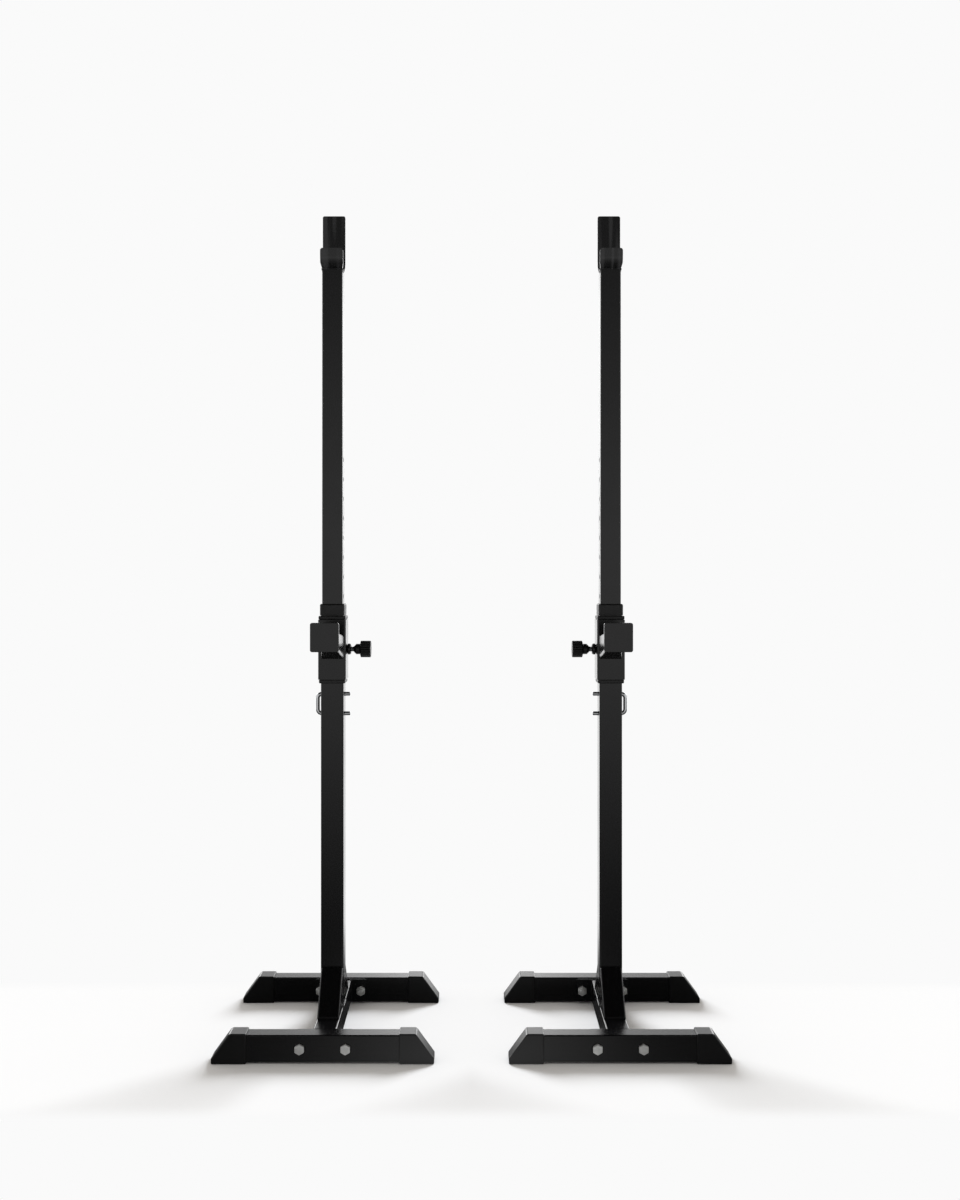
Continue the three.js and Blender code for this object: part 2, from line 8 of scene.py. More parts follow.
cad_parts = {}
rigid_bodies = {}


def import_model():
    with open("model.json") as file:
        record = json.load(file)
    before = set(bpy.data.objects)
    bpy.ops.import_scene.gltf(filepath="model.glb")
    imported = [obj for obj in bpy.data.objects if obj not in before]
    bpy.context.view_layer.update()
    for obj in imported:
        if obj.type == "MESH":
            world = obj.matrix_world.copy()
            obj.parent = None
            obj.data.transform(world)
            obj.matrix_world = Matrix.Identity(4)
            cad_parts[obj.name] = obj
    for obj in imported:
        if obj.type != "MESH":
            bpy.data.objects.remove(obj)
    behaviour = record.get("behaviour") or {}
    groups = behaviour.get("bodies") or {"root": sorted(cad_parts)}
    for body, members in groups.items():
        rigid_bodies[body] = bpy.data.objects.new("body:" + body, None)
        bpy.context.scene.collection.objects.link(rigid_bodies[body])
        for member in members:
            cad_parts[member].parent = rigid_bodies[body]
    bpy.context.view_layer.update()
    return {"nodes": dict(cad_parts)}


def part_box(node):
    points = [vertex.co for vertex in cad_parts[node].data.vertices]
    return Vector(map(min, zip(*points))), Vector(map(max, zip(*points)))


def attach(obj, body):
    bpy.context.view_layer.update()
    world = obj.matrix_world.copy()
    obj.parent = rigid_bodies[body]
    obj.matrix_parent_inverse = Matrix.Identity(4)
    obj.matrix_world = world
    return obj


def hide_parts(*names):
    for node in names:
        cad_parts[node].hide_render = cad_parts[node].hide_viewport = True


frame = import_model()

# Camera. It stands level, a metre above the floor and three metres in front of the pair. A small
# shift of the frame keeps the uprights vertical, with both saddles and all the feet in view.
camera_place = (0, -2.957, 1.007)
sensor_width = 36
focal_length = 40.2
picture_height = 1200
frame_right = 8.5
frame_down = 28
camera = bpy.data.objects.new("camera", bpy.data.cameras.new("camera"))
camera.data.sensor_width = sensor_width
camera.data.lens = focal_length
camera.data.shift_x = frame_right / picture_height
camera.data.shift_y = -frame_down / picture_height
camera.location = camera_place
camera.rotation_euler = (radians(90), 0, 0)
bpy.context.scene.collection.objects.link(camera)
bpy.context.scene.camera = camera


# Cross feet. Each is a length of rectangular steel tube that lies across the stand, sawn square,
# drilled through for the beam's two bolts, and powder coated black before its caps go on.
def node(tree, kind, inputs=(), **settings):
    made = tree.nodes.new(kind)
    for key, value in settings.items():
        setattr(made, key, value)
    for key, value in dict(inputs).items():
        if isinstance(value, bpy.types.NodeSocket):
            tree.links.new(value, made.inputs[key])
        else:
            made.inputs[key].default_value = value
    return made


def result(tree, kind, inputs=(), **settings):
    return node(tree, kind, inputs, **settings).outputs[0]


def maths(tree, operation, *terms):
    return result(tree, "ShaderNodeMath", enumerate(terms), operation=operation)


def product(tree, first, *others):
    for other in others:
        first = maths(tree, "MULTIPLY", first, other)
    return first


def less(tree, whole, part):
    return maths(tree, "SUBTRACT", whole, part)


def new_tree(name, kind, inputs, outputs):
    tree = bpy.data.node_groups.new(name, kind)
    kinds = {float: "NodeSocketFloat", int: "NodeSocketInt", tuple: "NodeSocketColor"}
    for label, value in inputs.items():
        socket_type = value if isinstance(value, str) else kinds[type(value)]
        socket = tree.interface.new_socket(label, in_out="INPUT", socket_type=socket_type)
        if not isinstance(value, str):
            socket.default_value = value
    for label, socket_type in outputs.items():
        tree.interface.new_socket(label, in_out="OUTPUT", socket_type=socket_type)
    return tree, tree.nodes.new("NodeGroupInput").outputs, tree.nodes.new("NodeGroupOutput")


def finish_tree(name, inputs):
    sockets = {"Colour": "NodeSocketColor", "Roughness": "NodeSocketFloat", "Height": "NodeSocketFloat"}
    return new_tree(name, "ShaderNodeTree", inputs, sockets)


def end_finish_tree(tree, out, colour, roughness, height):
    for label, value in (("Colour", colour), ("Roughness", roughness), ("Height", height)):
        tree.links.new(value, out.inputs[label])
    return tree


def shape_tree(name, inputs):
    inputs = {"Geometry": "NodeSocketGeometry", **inputs, "Material": "NodeSocketMaterial"}
    return new_tree(name, "GeometryNodeTree", inputs, {"Geometry": "NodeSocketGeometry"})


def end_shape_tree(tree, given, out, geometry):
    real = result(tree, "GeometryNodeRealizeInstances", {"Geometry": geometry})
    painting = {"Geometry": real, "Material": given["Material"]}
    painted = result(tree, "GeometryNodeSetMaterial", painting)
    tree.links.new(painted, out.inputs[0])
    return tree


def swept(tree, line, section, scale=1.0):
    sweep = {"Curve": line, "Profile Curve": section, "Scale": scale, "Fill Caps": True}
    return result(tree, "GeometryNodeCurveToMesh", sweep)


def evaluated(piece):
    bpy.context.view_layer.update()
    depsgraph = bpy.context.evaluated_depsgraph_get()
    mesh = bpy.data.meshes.new_from_object(piece.evaluated_get(depsgraph))
    bpy.data.objects.remove(piece)
    return mesh


def shown(name, mesh):
    piece = bpy.data.objects.new(name, mesh)
    bpy.context.scene.collection.objects.link(piece)
    return piece


def grown(tree, values, path=None):
    maker = shown("maker", path or bpy.data.meshes.new("path"))
    modifier = maker.modifiers.new("maker", "NODES")
    modifier.node_group = tree
    for item in tree.interface.items_tree:
        if item.in_out == "INPUT" and item.name in values:
            modifier[item.identifier] = values[item.name]
    return evaluated(maker)


def eased(mesh, width, steps=2, over=38):
    block = shown("block", mesh)
    bevel = block.modifiers.new("ease", "BEVEL")
    bevel.width = width
    bevel.segments = steps
    bevel.limit_method = "ANGLE"
    bevel.angle_limit = radians(over)
    return evaluated(block)


def placed(mesh, at, turn=Matrix()):
    mesh.transform(Matrix.Translation(at) @ turn)
    return mesh


def mirrored(mesh, axis, at=0.0):
    other = mesh.copy()
    to = Matrix.Translation(Vector(axis) * at)
    other.transform(to @ Matrix.Scale(-1, 4, axis) @ to.inverted())
    other.flip_normals()
    return other


def both_ends(mesh):
    return (("rear", mirrored(mesh, away)), ("front", mesh))


across = Vector((1, 0, 0))
away = Vector((0, 1, 0))
lie_across = Matrix(((0, 0, 1), (1, 0, 0), (0, 1, 0))).to_4x4()
crease = radians(32)


def fitted(mesh, label, material, slot, body, *nodes):
    mesh.materials.clear()
    mesh.materials.append(material)
    for side, copy in (("left", mesh), ("right", mirrored(mesh, across))):
        copy.shade_smooth()
        copy.set_sharp_from_angle(angle=crease)
        block = shown("block", copy)
        flats = block.modifiers.new("flats", "WEIGHTED_NORMAL")
        flats.keep_sharp = True
        piece = shown(f"{side}_{label}", evaluated(block))
        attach(piece, f"{side}_{body}")
        if nodes:
            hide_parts(*[f"{side}_{name}" for name in nodes])


def rise(tree, value, start, end, low=0.0, high=1.0):
    span = {"Value": value, "From Min": start, "From Max": end, "To Min": low, "To Max": high}
    return result(tree, "ShaderNodeMapRange", span, interpolation_type="SMOOTHSTEP")


def noise(tree, place, **inputs):
    return result(tree, "ShaderNodeTexNoise", {"Vector": place, **inputs})


def centred(tree, value, amount):
    return product(tree, less(tree, value, 0.5), amount)


def powder_coat_group():
    paint = {"Colour": (0.01, 0.01, 0.01, 1.0), "Roughness": 0.4, "Mottle": 0.3, "Peel Scale": 700.0}
    sheen_streak_sockets = {"Streak": 0.0, "Streak Scale": 80.0}
    tree, given, out = finish_tree("powder_coat", {**paint, **sheen_streak_sockets})
    place = node(tree, "ShaderNodeTexCoord").outputs["Object"]
    uneven = centred(tree, noise(tree, place, Scale=16.0, Detail=3.0), given["Mottle"])
    # Painted sheen: vertical streaks lighten the colour to stand in for reflections, and roughen the paint
    # a little.
    stretch = result(tree, "ShaderNodeVectorMath", {0: place, 1: (1, 0.02, 0.04)}, operation="MULTIPLY")
    band = noise(tree, stretch, Scale=given["Streak Scale"], Detail=1.0)
    painted_sheen = product(tree, rise(tree, band, *painted_sheen_share), given["Streak"])
    value = maths(tree, "ADD", maths(tree, "MULTIPLY_ADD", uneven, 2.0, 1.0), painted_sheen)
    scaled = {0: given["Colour"], "Scale": value}
    colour = result(tree, "ShaderNodeVectorMath", scaled, operation="SCALE")
    settled = maths(tree, "MULTIPLY_ADD", uneven, -0.5, given["Roughness"])
    rough = maths(tree, "MULTIPLY_ADD", painted_sheen, 0.02, settled)
    peel = noise(tree, place, Scale=given["Peel Scale"], Detail=1.5, Roughness=0.4)
    return end_finish_tree(tree, out, colour, rough, peel)


def finish(name, group, values, bump, sockets=()):
    material = bpy.data.materials.new(name)
    material.use_nodes = True
    tree = material.node_tree
    skin = node(tree, "ShaderNodeGroup", node_tree=group)
    for label, value in values.items():
        skin.inputs[label].default_value = value
    strength, depth = bump
    raised = {"Strength": strength, "Distance": depth, "Height": skin.outputs["Height"]}
    relief = result(tree, "ShaderNodeBump", raised)
    principled = tree.nodes["Principled BSDF"]
    tree.links.new(skin.outputs["Colour"], principled.inputs["Base Color"])
    tree.links.new(skin.outputs["Roughness"], principled.inputs["Roughness"])
    tree.links.new(relief, principled.inputs["Normal"])
    for label, value in dict(sockets).items():
        principled.inputs[label].default_value = value
    return material


def drilled_tube_tree():
    steel = {"Width": 0.05, "Depth": 0.05, "Length": 0.5, "Wall": 0.002, "Corner": 0.004}
    holes = {"Hole": 0.01, "First Hole": 0.02, "Hole Pitch": 0.04, "Hole Count": 0}
    tree, given, out = shape_tree("drilled_tube", {**steel, **holes})

    def point(height):
        return result(tree, "ShaderNodeCombineXYZ", {"Z": height})

    def bar(width, depth, corner, low, high):
        sizes = {"Width": width, "Height": depth}
        section = result(tree, "GeometryNodeCurvePrimitiveQuadrilateral", sizes)
        rounding = {"Curve": section, "Count": 6, "Radius": corner}
        rounded = result(tree, "GeometryNodeFilletCurve", rounding, mode="POLY")
        ends = {"Start": point(low), "End": point(high)}
        return swept(tree, result(tree, "GeometryNodeCurvePrimitiveLine", ends), rounded)

    overrun = 0.002
    wall = product(tree, given["Wall"], 2.0)
    outside = bar(given["Width"], given["Depth"], given["Corner"], 0.0, given["Length"])
    bore = bar(
        less(tree, given["Width"], wall),
        less(tree, given["Depth"], wall),
        less(tree, given["Corner"], given["Wall"]),
        -overrun,
        maths(tree, "ADD", given["Length"], overrun),
    )
    through = maths(tree, "ADD", given["Width"], overrun)
    rod_sizes = {"Vertices": 40, "Radius": product(tree, given["Hole"], 0.5), "Depth": through}
    rod = result(tree, "GeometryNodeMeshCylinder", rod_sizes)
    first, pitch = point(given["First Hole"]), point(given["Hole Pitch"])
    spots = {"Count": given["Hole Count"], "Start Location": first, "Offset": pitch}
    row = result(tree, "GeometryNodeMeshLine", spots, mode="OFFSET")
    laid = {"Points": row, "Instance": rod, "Rotation": (0, pi / 2, 0)}
    rods = result(tree, "GeometryNodeInstanceOnPoints", laid)
    drills = result(tree, "GeometryNodeRealizeInstances", {"Geometry": rods})
    cut = {"Mesh 1": outside, "Mesh 2": bore}
    drilled = node(tree, "GeometryNodeMeshBoolean", cut, operation="DIFFERENCE", solver="EXACT")
    tree.links.new(drills, drilled.inputs["Mesh 2"])
    return end_shape_tree(tree, given, out, drilled.outputs[0])


def steel_tube(width, depth, length, wall, corner, holes=()):
    sizes = {"Width": width, "Depth": depth, "Length": length, "Wall": wall, "Corner": corner}
    row = dict(zip(("Hole", "First Hole", "Hole Pitch", "Hole Count"), holes))
    return grown(drilled_tube, {**sizes, **row})


painted_sheen_share = (0.46, 0.66)
powder_coat = powder_coat_group()
drilled_tube = drilled_tube_tree()
frame_paint = finish(
    "frame_paint",
    powder_coat,
    {"Colour": (0.003, 0.003, 0.0033, 1), "Roughness": 0.22, "Mottle": 0.15, "Peel Scale": 620},
    bump=(0.25, 0.00015),
)
foot_low, foot_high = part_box("left_foot_front")
foot_size = foot_high - foot_low
foot_wall = 0.002
foot_corner = 0.003
bolt_middles = [sum(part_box(f"left_bolt_front_{which}"), Vector()) / 2 for which in ("outer", "inner")]
bolt_pitch = bolt_middles[1].x - bolt_middles[0].x
bolt_hole = 0.013
sawn_edge = 0.0003
foot_holes = (bolt_hole, bolt_middles[0].x - foot_low.x, bolt_pitch, 2)
foot_tube = steel_tube(foot_size.y, foot_size.z, foot_size.x, foot_wall, foot_corner, foot_holes)
foot_start = Vector((foot_low.x, (foot_low.y + foot_high.y) / 2, (foot_low.z + foot_high.z) / 2))
placed(foot_tube, foot_start, lie_across)
foot_tube = eased(foot_tube, sawn_edge)
for end, tube in both_ends(foot_tube):
    fitted(tube, f"{end}_foot", frame_paint, "frame_paint", "base", f"foot_{end}")


# End caps. Each is moulded in black plastic with a sloped nose, slips over the foot's end and
# stands on the floor, so that the steel never touches it.
def outline(corners, inset=0.0, steps=5):
    count = len(corners)
    lines = []
    for i, (u, v, _, *kept) in enumerate(corners):
        ahead = corners[(i + 1) % count]
        along = Vector((ahead[0] - u, ahead[1] - v)).normalized()
        inward = Vector((-along.y, along.x)) * (0 if kept else inset)
        lines.append((Vector((u, v)) + inward, along))
    points = []
    for i, corner in enumerate(corners):
        (start, before), (other, after) = lines[i - 1], lines[i]
        turn = atan2(before.cross(after), before.dot(after))
        reach = (other - start).cross(after) / before.cross(after)
        meet = start + before * reach
        radius = max(corner[2] - inset, 0) if turn > 0 else corner[2]
        begin = meet - before * radius * tan(abs(turn) / 2)
        normal = Vector((-before.y, before.x)) * radius * (1 if turn > 0 else -1)
        for step in range(steps + 1):
            part = turn * step / steps
            swung = Matrix.Rotation(part, 2) @ -normal
            points.append(begin + normal + swung)
    return points


def skin(loops, ring=False):
    mesh = bmesh.new()
    rows = [[mesh.verts.new(point) for point in loop] for loop in loops]
    pairs = list(zip(rows, rows[1:]))
    if ring:
        pairs.append((rows[-1], rows[0]))
    for low, high in pairs:
        for i in range(len(low)):
            mesh.faces.new((low[i - 1], low[i], high[i], high[i - 1]))
    if not ring:
        mesh.faces.new(rows[0])
        mesh.faces.new(rows[-1])
    bmesh.ops.remove_doubles(mesh, verts=mesh.verts, dist=1e-6)
    bmesh.ops.recalc_face_normals(mesh, faces=mesh.faces)
    made = bpy.data.meshes.new("skin")
    mesh.to_mesh(made)
    mesh.free()
    return made


def slab(corners, low, high, place, edge=0.0, steps=4, corner_steps=5):
    turns = [pi / 2 * step / steps for step in range(steps + 1)] if edge else [pi / 2]
    rims = [(edge * (1 - sin(turn)), edge * (1 - cos(turn))) for turn in turns]
    levels = [(inset, low + rise) for inset, rise in rims]
    levels += [(inset, high - rise) for inset, rise in reversed(rims)]
    return skin(
        [[place(u, v, level) for u, v in outline(corners, inset, corner_steps)] for inset, level in levels]
    )


def carved(mesh, *tools, operation="DIFFERENCE"):
    block = shown("block", mesh)
    cutters = [shown("cutter", tool) for tool in tools]
    for cutter in cutters:
        cut = block.modifiers.new("cut", "BOOLEAN")
        cut.operation = operation
        cut.solver = "EXACT"
        cut.object = cutter
    result = evaluated(block)
    for cutter in cutters:
        bpy.data.objects.remove(cutter)
    return result


def box_corners(width, height, radius):
    u, v = width / 2, height / 2
    return [(-u, -v, radius), (u, -v, radius), (u, v, radius), (-u, v, radius)]


def moulded_grain_group():
    tree, given, out = finish_tree(
        "moulded_grain",
        {"Colour": (0.01, 0.01, 0.01, 1.0), "Roughness": 0.5, "Grain Scale": 1500.0, "Flow": 0.1},
    )
    place = node(tree, "ShaderNodeTexCoord").outputs["Object"]
    flow = noise(tree, place, Scale=30.0, Detail=2.0, Distortion=1.5)
    cells = {"Vector": place, "Scale": given["Grain Scale"]}
    grain = node(tree, "ShaderNodeTexVoronoi", cells, feature="SMOOTH_F1").outputs["Distance"]
    drift = centred(tree, flow, given["Flow"])
    value = maths(tree, "MULTIPLY_ADD", drift, 3.0, 1.0)
    colour = result(tree, "ShaderNodeHueSaturation", {"Value": value, "Color": given["Colour"]})
    rough = maths(tree, "ADD", given["Roughness"], drift)
    return end_finish_tree(tree, out, colour, rough, grain)


moulded_grain = moulded_grain_group()
cap_plastic = finish(
    "cap_plastic",
    moulded_grain,
    {"Colour": (0.0035, 0.0035, 0.0037, 1), "Roughness": 0.3, "Grain Scale": 1300, "Flow": 0.08},
    bump=(0.3, 0.0001),
)
cap_low, cap_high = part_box("left_cap_front_inner")
cap_size = cap_high - cap_low
cap_middle = (cap_low.y + cap_high.y) / 2
cap_top_length = 0.035
cap_toe = 0.0114
cap_edge = 0.0026
cap_toe_radius = 0.0045
cap_brow_radius = 0.0075
cap_grip = 0.034
fit_gap = 0.0003
past = 0.006
cap_body = slab(
    [
        (0, 0, cap_edge),
        (cap_size.x, 0, cap_edge),
        (cap_size.x, cap_toe, cap_toe_radius),
        (cap_top_length, cap_size.z, cap_brow_radius),
        (0, cap_size.z, cap_edge),
    ],
    cap_low.y,
    cap_high.y,
    lambda u, v, level: (cap_low.x + u, level, v),
    cap_edge,
    corner_steps=8,
)
cap_socket = slab(
    box_corners(foot_size.y + 2 * fit_gap, foot_size.z + 2 * fit_gap, foot_corner),
    cap_low.x - past,
    cap_low.x + cap_grip,
    lambda u, v, level: (level, cap_middle + u, foot_start.z + v),
)
cap = carved(cap_body, cap_socket)
foot_middle = (foot_low.x + foot_high.x) / 2
for end, inner_cap in both_ends(cap):
    outer_cap = mirrored(inner_cap, across, foot_middle)
    fitted(outer_cap, f"{end}_outer_cap", cap_plastic, "cap_plastic", "base", f"cap_{end}_outer")
    fitted(inner_cap, f"{end}_inner_cap", cap_plastic, "cap_plastic", "base", f"cap_{end}_inner")


# Base beam. A square steel tube from foot to foot, with a drilled flat plate welded on each end,
# painted with the rest of the frame once it has cooled.
def merged(*meshes):
    whole = bmesh.new()
    for mesh in meshes:
        whole.from_mesh(mesh)
    made = bpy.data.meshes.new("merged")
    whole.to_mesh(made)
    whole.free()
    return made


def facing(x, z):
    return lambda u, v, level: (x + u, level, z + v)


def round_bar(radius, low, high, place, turns=40):
    ring = [(radius * cos(2 * pi * i / turns), radius * sin(2 * pi * i / turns)) for i in range(turns)]
    return skin([[place(u, v, level) for u, v in ring] for level in (low, high)])


beam_low, beam_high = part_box("left_base_beam")
stand_x = (beam_low.x + beam_high.x) / 2
upright_low, upright_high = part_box("left_upright")
beam_size = upright_high.x - upright_low.x
beam_wall = 0.002
beam_corner = 0.004
plate_thickness = 0.005
plate_height = 0.052
plate_corner = 0.004
plate_edge = 0.0006
vent_diameter = 0.02
beam_axis = Vector((stand_x, 0, (beam_low.z + beam_high.z) / 2))
lie_away = Matrix(((1, 0, 0), (0, 0, 1), (0, -1, 0))).to_4x4()
beam_length = beam_high.y - beam_low.y - 2 * plate_thickness
beam_tube = steel_tube(beam_size, beam_size, beam_length, beam_wall, beam_corner)
placed(beam_tube, beam_axis + away * (beam_low.y + plate_thickness), lie_away)
plate = slab(
    box_corners(beam_high.x - beam_low.x, plate_height, plate_corner),
    beam_low.y,
    beam_low.y + plate_thickness,
    facing(stand_x, foot_start.z),
    plate_edge,
    steps=2,
)
drill_span = (beam_low.y - past, beam_low.y + plate_thickness + past)
plate_holes = [
    round_bar(bolt_hole / 2, *drill_span, facing(middle.x, middle.z)) for middle in bolt_middles
]
vent = round_bar(vent_diameter / 2, *drill_span, facing(stand_x, beam_axis.z))
plate = carved(plate, vent, *plate_holes)
beam = merged(beam_tube, plate, mirrored(plate, away))
fitted(beam, "beam", frame_paint, "frame_paint", "base", "base_beam")


# Upright and gussets. The square tube stands on the beam, cross-drilled for the lock pin, and two
# folded steel gussets brace it fore and aft. Weld beads join them before the base is painted.
pin_low, pin_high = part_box("left_lock_pin")
hole_pitch = 0.043
pin_diameter = pin_high.z - pin_low.z - hole_pitch
pin_legs = (pin_low.z + pin_diameter / 2, pin_high.z - pin_diameter / 2)
pin_play = 0.0006
pin_hole = pin_diameter + 2 * pin_play
upright_size = upright_high.x - upright_low.x
upright_wall = 0.002
upright_corner = 0.004


def standing_tube(size, low, high, wall, corner, hole_count=0):
    holes = (pin_hole, pin_legs[0] - low, hole_pitch, hole_count)
    tube = steel_tube(size, size, high - low, wall, corner, holes)
    return placed(tube, (stand_x, 0, low))


upright_tube = standing_tube(
    upright_size, upright_low.z, upright_high.z, upright_wall, upright_corner, hole_count=2
)
fitted(eased(upright_tube, sawn_edge), "upright_tube", frame_paint, "frame_paint", "base", "upright")

gusset_low, gusset_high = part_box("left_gusset_front")
gusset_reach = gusset_high.y - gusset_low.y
gusset_height = gusset_high.z - gusset_low.z
gusset_wall = 0.003
gusset_inset = 0.0013
gusset_half = upright_size / 2 - gusset_inset
gusset_fold = 0.0045
gusset_toe = 0.004
gusset_brow = 0.005
gusset_slope = atan2(gusset_height - gusset_toe, gusset_reach - gusset_brow)
gusset_drop = gusset_wall / cos(gusset_slope)
gusset_side = [
    (0, 0, 0, "kept"),
    (0, gusset_height, 0),
    (-gusset_brow, gusset_height, gusset_brow / 2),
    (-gusset_reach, gusset_toe, gusset_toe / 2, "kept"),
    (-gusset_reach, 0, 0, "kept"),
]
gusset_room = [
    (past, -past, 0),
    (past, gusset_height - gusset_drop, 0),
    (-gusset_brow, gusset_height - gusset_drop, 0),
    (-gusset_reach, gusset_toe - gusset_drop, 0),
    (-gusset_reach, -past, 0),
]


def on_upright(u, v, level):
    return (stand_x + level, gusset_high.y + u, gusset_low.z + v)


gusset_skin = slab(
    gusset_side, -gusset_half, gusset_half, on_upright, gusset_fold, steps=5, corner_steps=3
)
gusset_gap = gusset_half - gusset_wall
gusset = carved(gusset_skin, slab(gusset_room, -gusset_gap, gusset_gap, on_upright, corner_steps=1))
for end, brace in both_ends(gusset):
    fitted(brace, f"{end}_gusset", frame_paint, "frame_paint", "base", f"gusset_{end}")


def resampled(tree, line, step):
    spacing = {"Curve": line, "Length": step}
    return result(tree, "GeometryNodeResampleCurve", spacing, mode="LENGTH")


def weld_bead_tree():
    tree, given, out = shape_tree("weld_bead", {"Bead": 0.0025, "Ripple": 0.18, "Ripple Pitch": 0.0028})
    path = result(tree, "GeometryNodeMeshToCurve", {"Mesh": given["Geometry"]})
    fine = resampled(tree, path, bead_step)
    along = node(tree, "GeometryNodeSplineParameter").outputs["Length"]
    phase = maths(tree, "FRACT", maths(tree, "DIVIDE", along, given["Ripple Pitch"]))
    scale = centred(tree, phase, given["Ripple"])
    wander = result(tree, "ShaderNodeTexNoise", {"Scale": 90.0, "Detail": 1.0})
    size = maths(tree, "ADD", maths(tree, "MULTIPLY_ADD", wander, 0.5, 0.75), scale)
    bead = round_along(tree, fine, size, 10, given["Bead"])
    return end_shape_tree(tree, given, out, bead)


def round_along(tree, line, thickness, sides, radius=1.0):
    sized = {"Curve": line, "Radius": thickness}
    thick = result(tree, "GeometryNodeSetCurveRadius", sized)
    circle = {"Resolution": sides, "Radius": radius}
    ring = result(tree, "GeometryNodeCurvePrimitiveCircle", circle)
    return swept(tree, thick, ring, result(tree, "GeometryNodeInputRadius"))


def beads(paths, radius):
    lines = bpy.data.meshes.new("paths")
    points = [point for path in paths for point in path]
    firsts = [sum(len(path) for path in paths[:i]) for i in range(len(paths))]
    steps = [(first, i) for first, path in zip(firsts, paths) for i in range(len(path) - 1)]
    edges = [(first + i, first + i + 1) for first, i in steps]
    lines.from_pydata(points, edges, [])
    return grown(weld_bead, {"Bead": radius}, lines)


bead_step = 0.0007
weld_bead = weld_bead_tree()
base_bead = 0.0018
half = upright_size / 2
gusset_line = half - gusset_fold / 2


def seam_round(size, corner, place):
    ring = outline(box_corners(size, size, corner), steps=3)
    return [place(u, v) for u, v in ring + ring[:1]]


def seam_across(y, z):
    return [(stand_x + flank * (half - gusset_fold), y, z + base_bead / 2) for flank in (-1, 1)]


base_seams = [seam_round(upright_size, upright_corner, lambda u, v: (stand_x + u, v, upright_low.z))]
for way in (-1, 1):
    plate_inside = way * (beam_high.y - plate_thickness)
    base_seams.append(
        seam_round(beam_size, beam_corner, lambda u, v: (stand_x + u, plate_inside, beam_axis.z + v))
    )
    wall_y = way * half
    toe_y = way * (half + gusset_reach)
    for flank in (-1, 1):
        seam_x = stand_x + flank * gusset_line
        base_seams.append([(seam_x, wall_y, gusset_low.z), (seam_x, wall_y, gusset_high.z - gusset_fold)])
    base_seams += [seam_across(wall_y, gusset_high.z), seam_across(toe_y, gusset_low.z)]
base_welds = beads(base_seams, base_bead)
fitted(base_welds, "base_welds", frame_paint, "frame_paint", "base")


# Bolts and nuts. Zinc plated hexagon bolts pass through the foot and the beam's end plate from
# outside, and a plain nut draws each one up on the beam's side.
def turned(profile, place, turns=64):
    loops = [
        [place(r * cos(2 * pi * i / turns), r * sin(2 * pi * i / turns), level) for level, r in profile]
        for i in range(turns)
    ]
    return skin(loops, ring=True)


def unit_bar(tree, length, step, sides):
    end = result(tree, "ShaderNodeCombineXYZ", {"Z": length})
    line = result(tree, "GeometryNodeCurvePrimitiveLine", {"End": end})
    fine = resampled(tree, line, step)
    ring = result(tree, "GeometryNodeCurvePrimitiveCircle", {"Resolution": sides, "Radius": 1.0})
    place = result(tree, "GeometryNodeInputPosition")
    parts = node(tree, "ShaderNodeSeparateXYZ", {"Vector": place}).outputs
    return swept(tree, fine, ring), parts, maths(tree, "ARCTAN2", parts[1], parts[0])


def reshaped(tree, bar, parts, radius):
    wide = product(tree, parts[0], radius)
    deep = product(tree, parts[1], radius)
    place = result(tree, "ShaderNodeCombineXYZ", {"X": wide, "Y": deep, "Z": parts[2]})
    return result(tree, "GeometryNodeSetPosition", {"Geometry": bar, "Position": place})


def rolled_thread_tree():
    tree, given, out = shape_tree(
        "rolled_thread",
        {"Diameter": 0.012, "Length": 0.02, "Thread": 0.00175, "Thread Depth": 0.0009, "Point": 0.001},
    )
    step = maths(tree, "DIVIDE", given["Thread"], 6.0)
    bar, parts, angle = unit_bar(tree, given["Length"], step, 24)
    turn = maths(tree, "DIVIDE", angle, 2 * pi)
    climb = maths(tree, "DIVIDE", parts[2], given["Thread"])
    phase = maths(tree, "FRACT", less(tree, climb, turn))
    tooth = maths(tree, "ABSOLUTE", maths(tree, "MULTIPLY_ADD", phase, 2.0, -1.0))
    outer = product(tree, given["Diameter"], 0.5)
    cut = product(tree, tooth, given["Thread Depth"])
    left = less(tree, given["Length"], parts[2])
    short = maths(tree, "MAXIMUM", less(tree, given["Point"], left), 0.0)
    radius = less(tree, outer, maths(tree, "MAXIMUM", cut, short))
    return end_shape_tree(tree, given, out, reshaped(tree, bar, parts, radius))


def plated_group():
    tree, given, out = finish_tree(
        "plated",
        {"Colour": (0.6, 0.6, 0.6, 1.0), "Roughness": 0.3, "Cloud": 0.15, "Grain Scale": 900.0},
    )
    place = node(tree, "ShaderNodeTexCoord").outputs["Object"]
    uneven = centred(tree, noise(tree, place, Scale=120.0, Detail=3.0), given["Cloud"])
    value = maths(tree, "MULTIPLY_ADD", uneven, 2.0, 1.0)
    colour = result(tree, "ShaderNodeHueSaturation", {"Value": value, "Color": given["Colour"]})
    rough = maths(tree, "ADD", given["Roughness"], uneven)
    grain = noise(tree, place, Scale=given["Grain Scale"])
    return end_finish_tree(tree, out, colour, rough, grain)


rolled_thread = rolled_thread_tree()
plated = plated_group()
zinc = finish(
    "zinc_hardware",
    plated,
    {"Colour": (0.66, 0.67, 0.66, 1), "Roughness": 0.32, "Cloud": 0.18, "Grain Scale": 1400},
    bump=(0.12, 0.00008),
    sockets={"Metallic": 0.65},
)
bolt_low, bolt_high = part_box("left_bolt_front_outer")
nut_low, nut_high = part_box("left_nut_front_outer")
bolt_diameter = 0.012
across_flats = bolt_high.x - bolt_low.x
hexagon = across_flats / sqrt(3)
head_height = foot_low.y - bolt_low.y - fit_gap
head_chamfer = 0.0012
seat_chamfer = 0.0002
forged_edge = 0.0003
turning_room = 0.0001
shank_overlap = 0.0005
thread_pitch = 0.00175


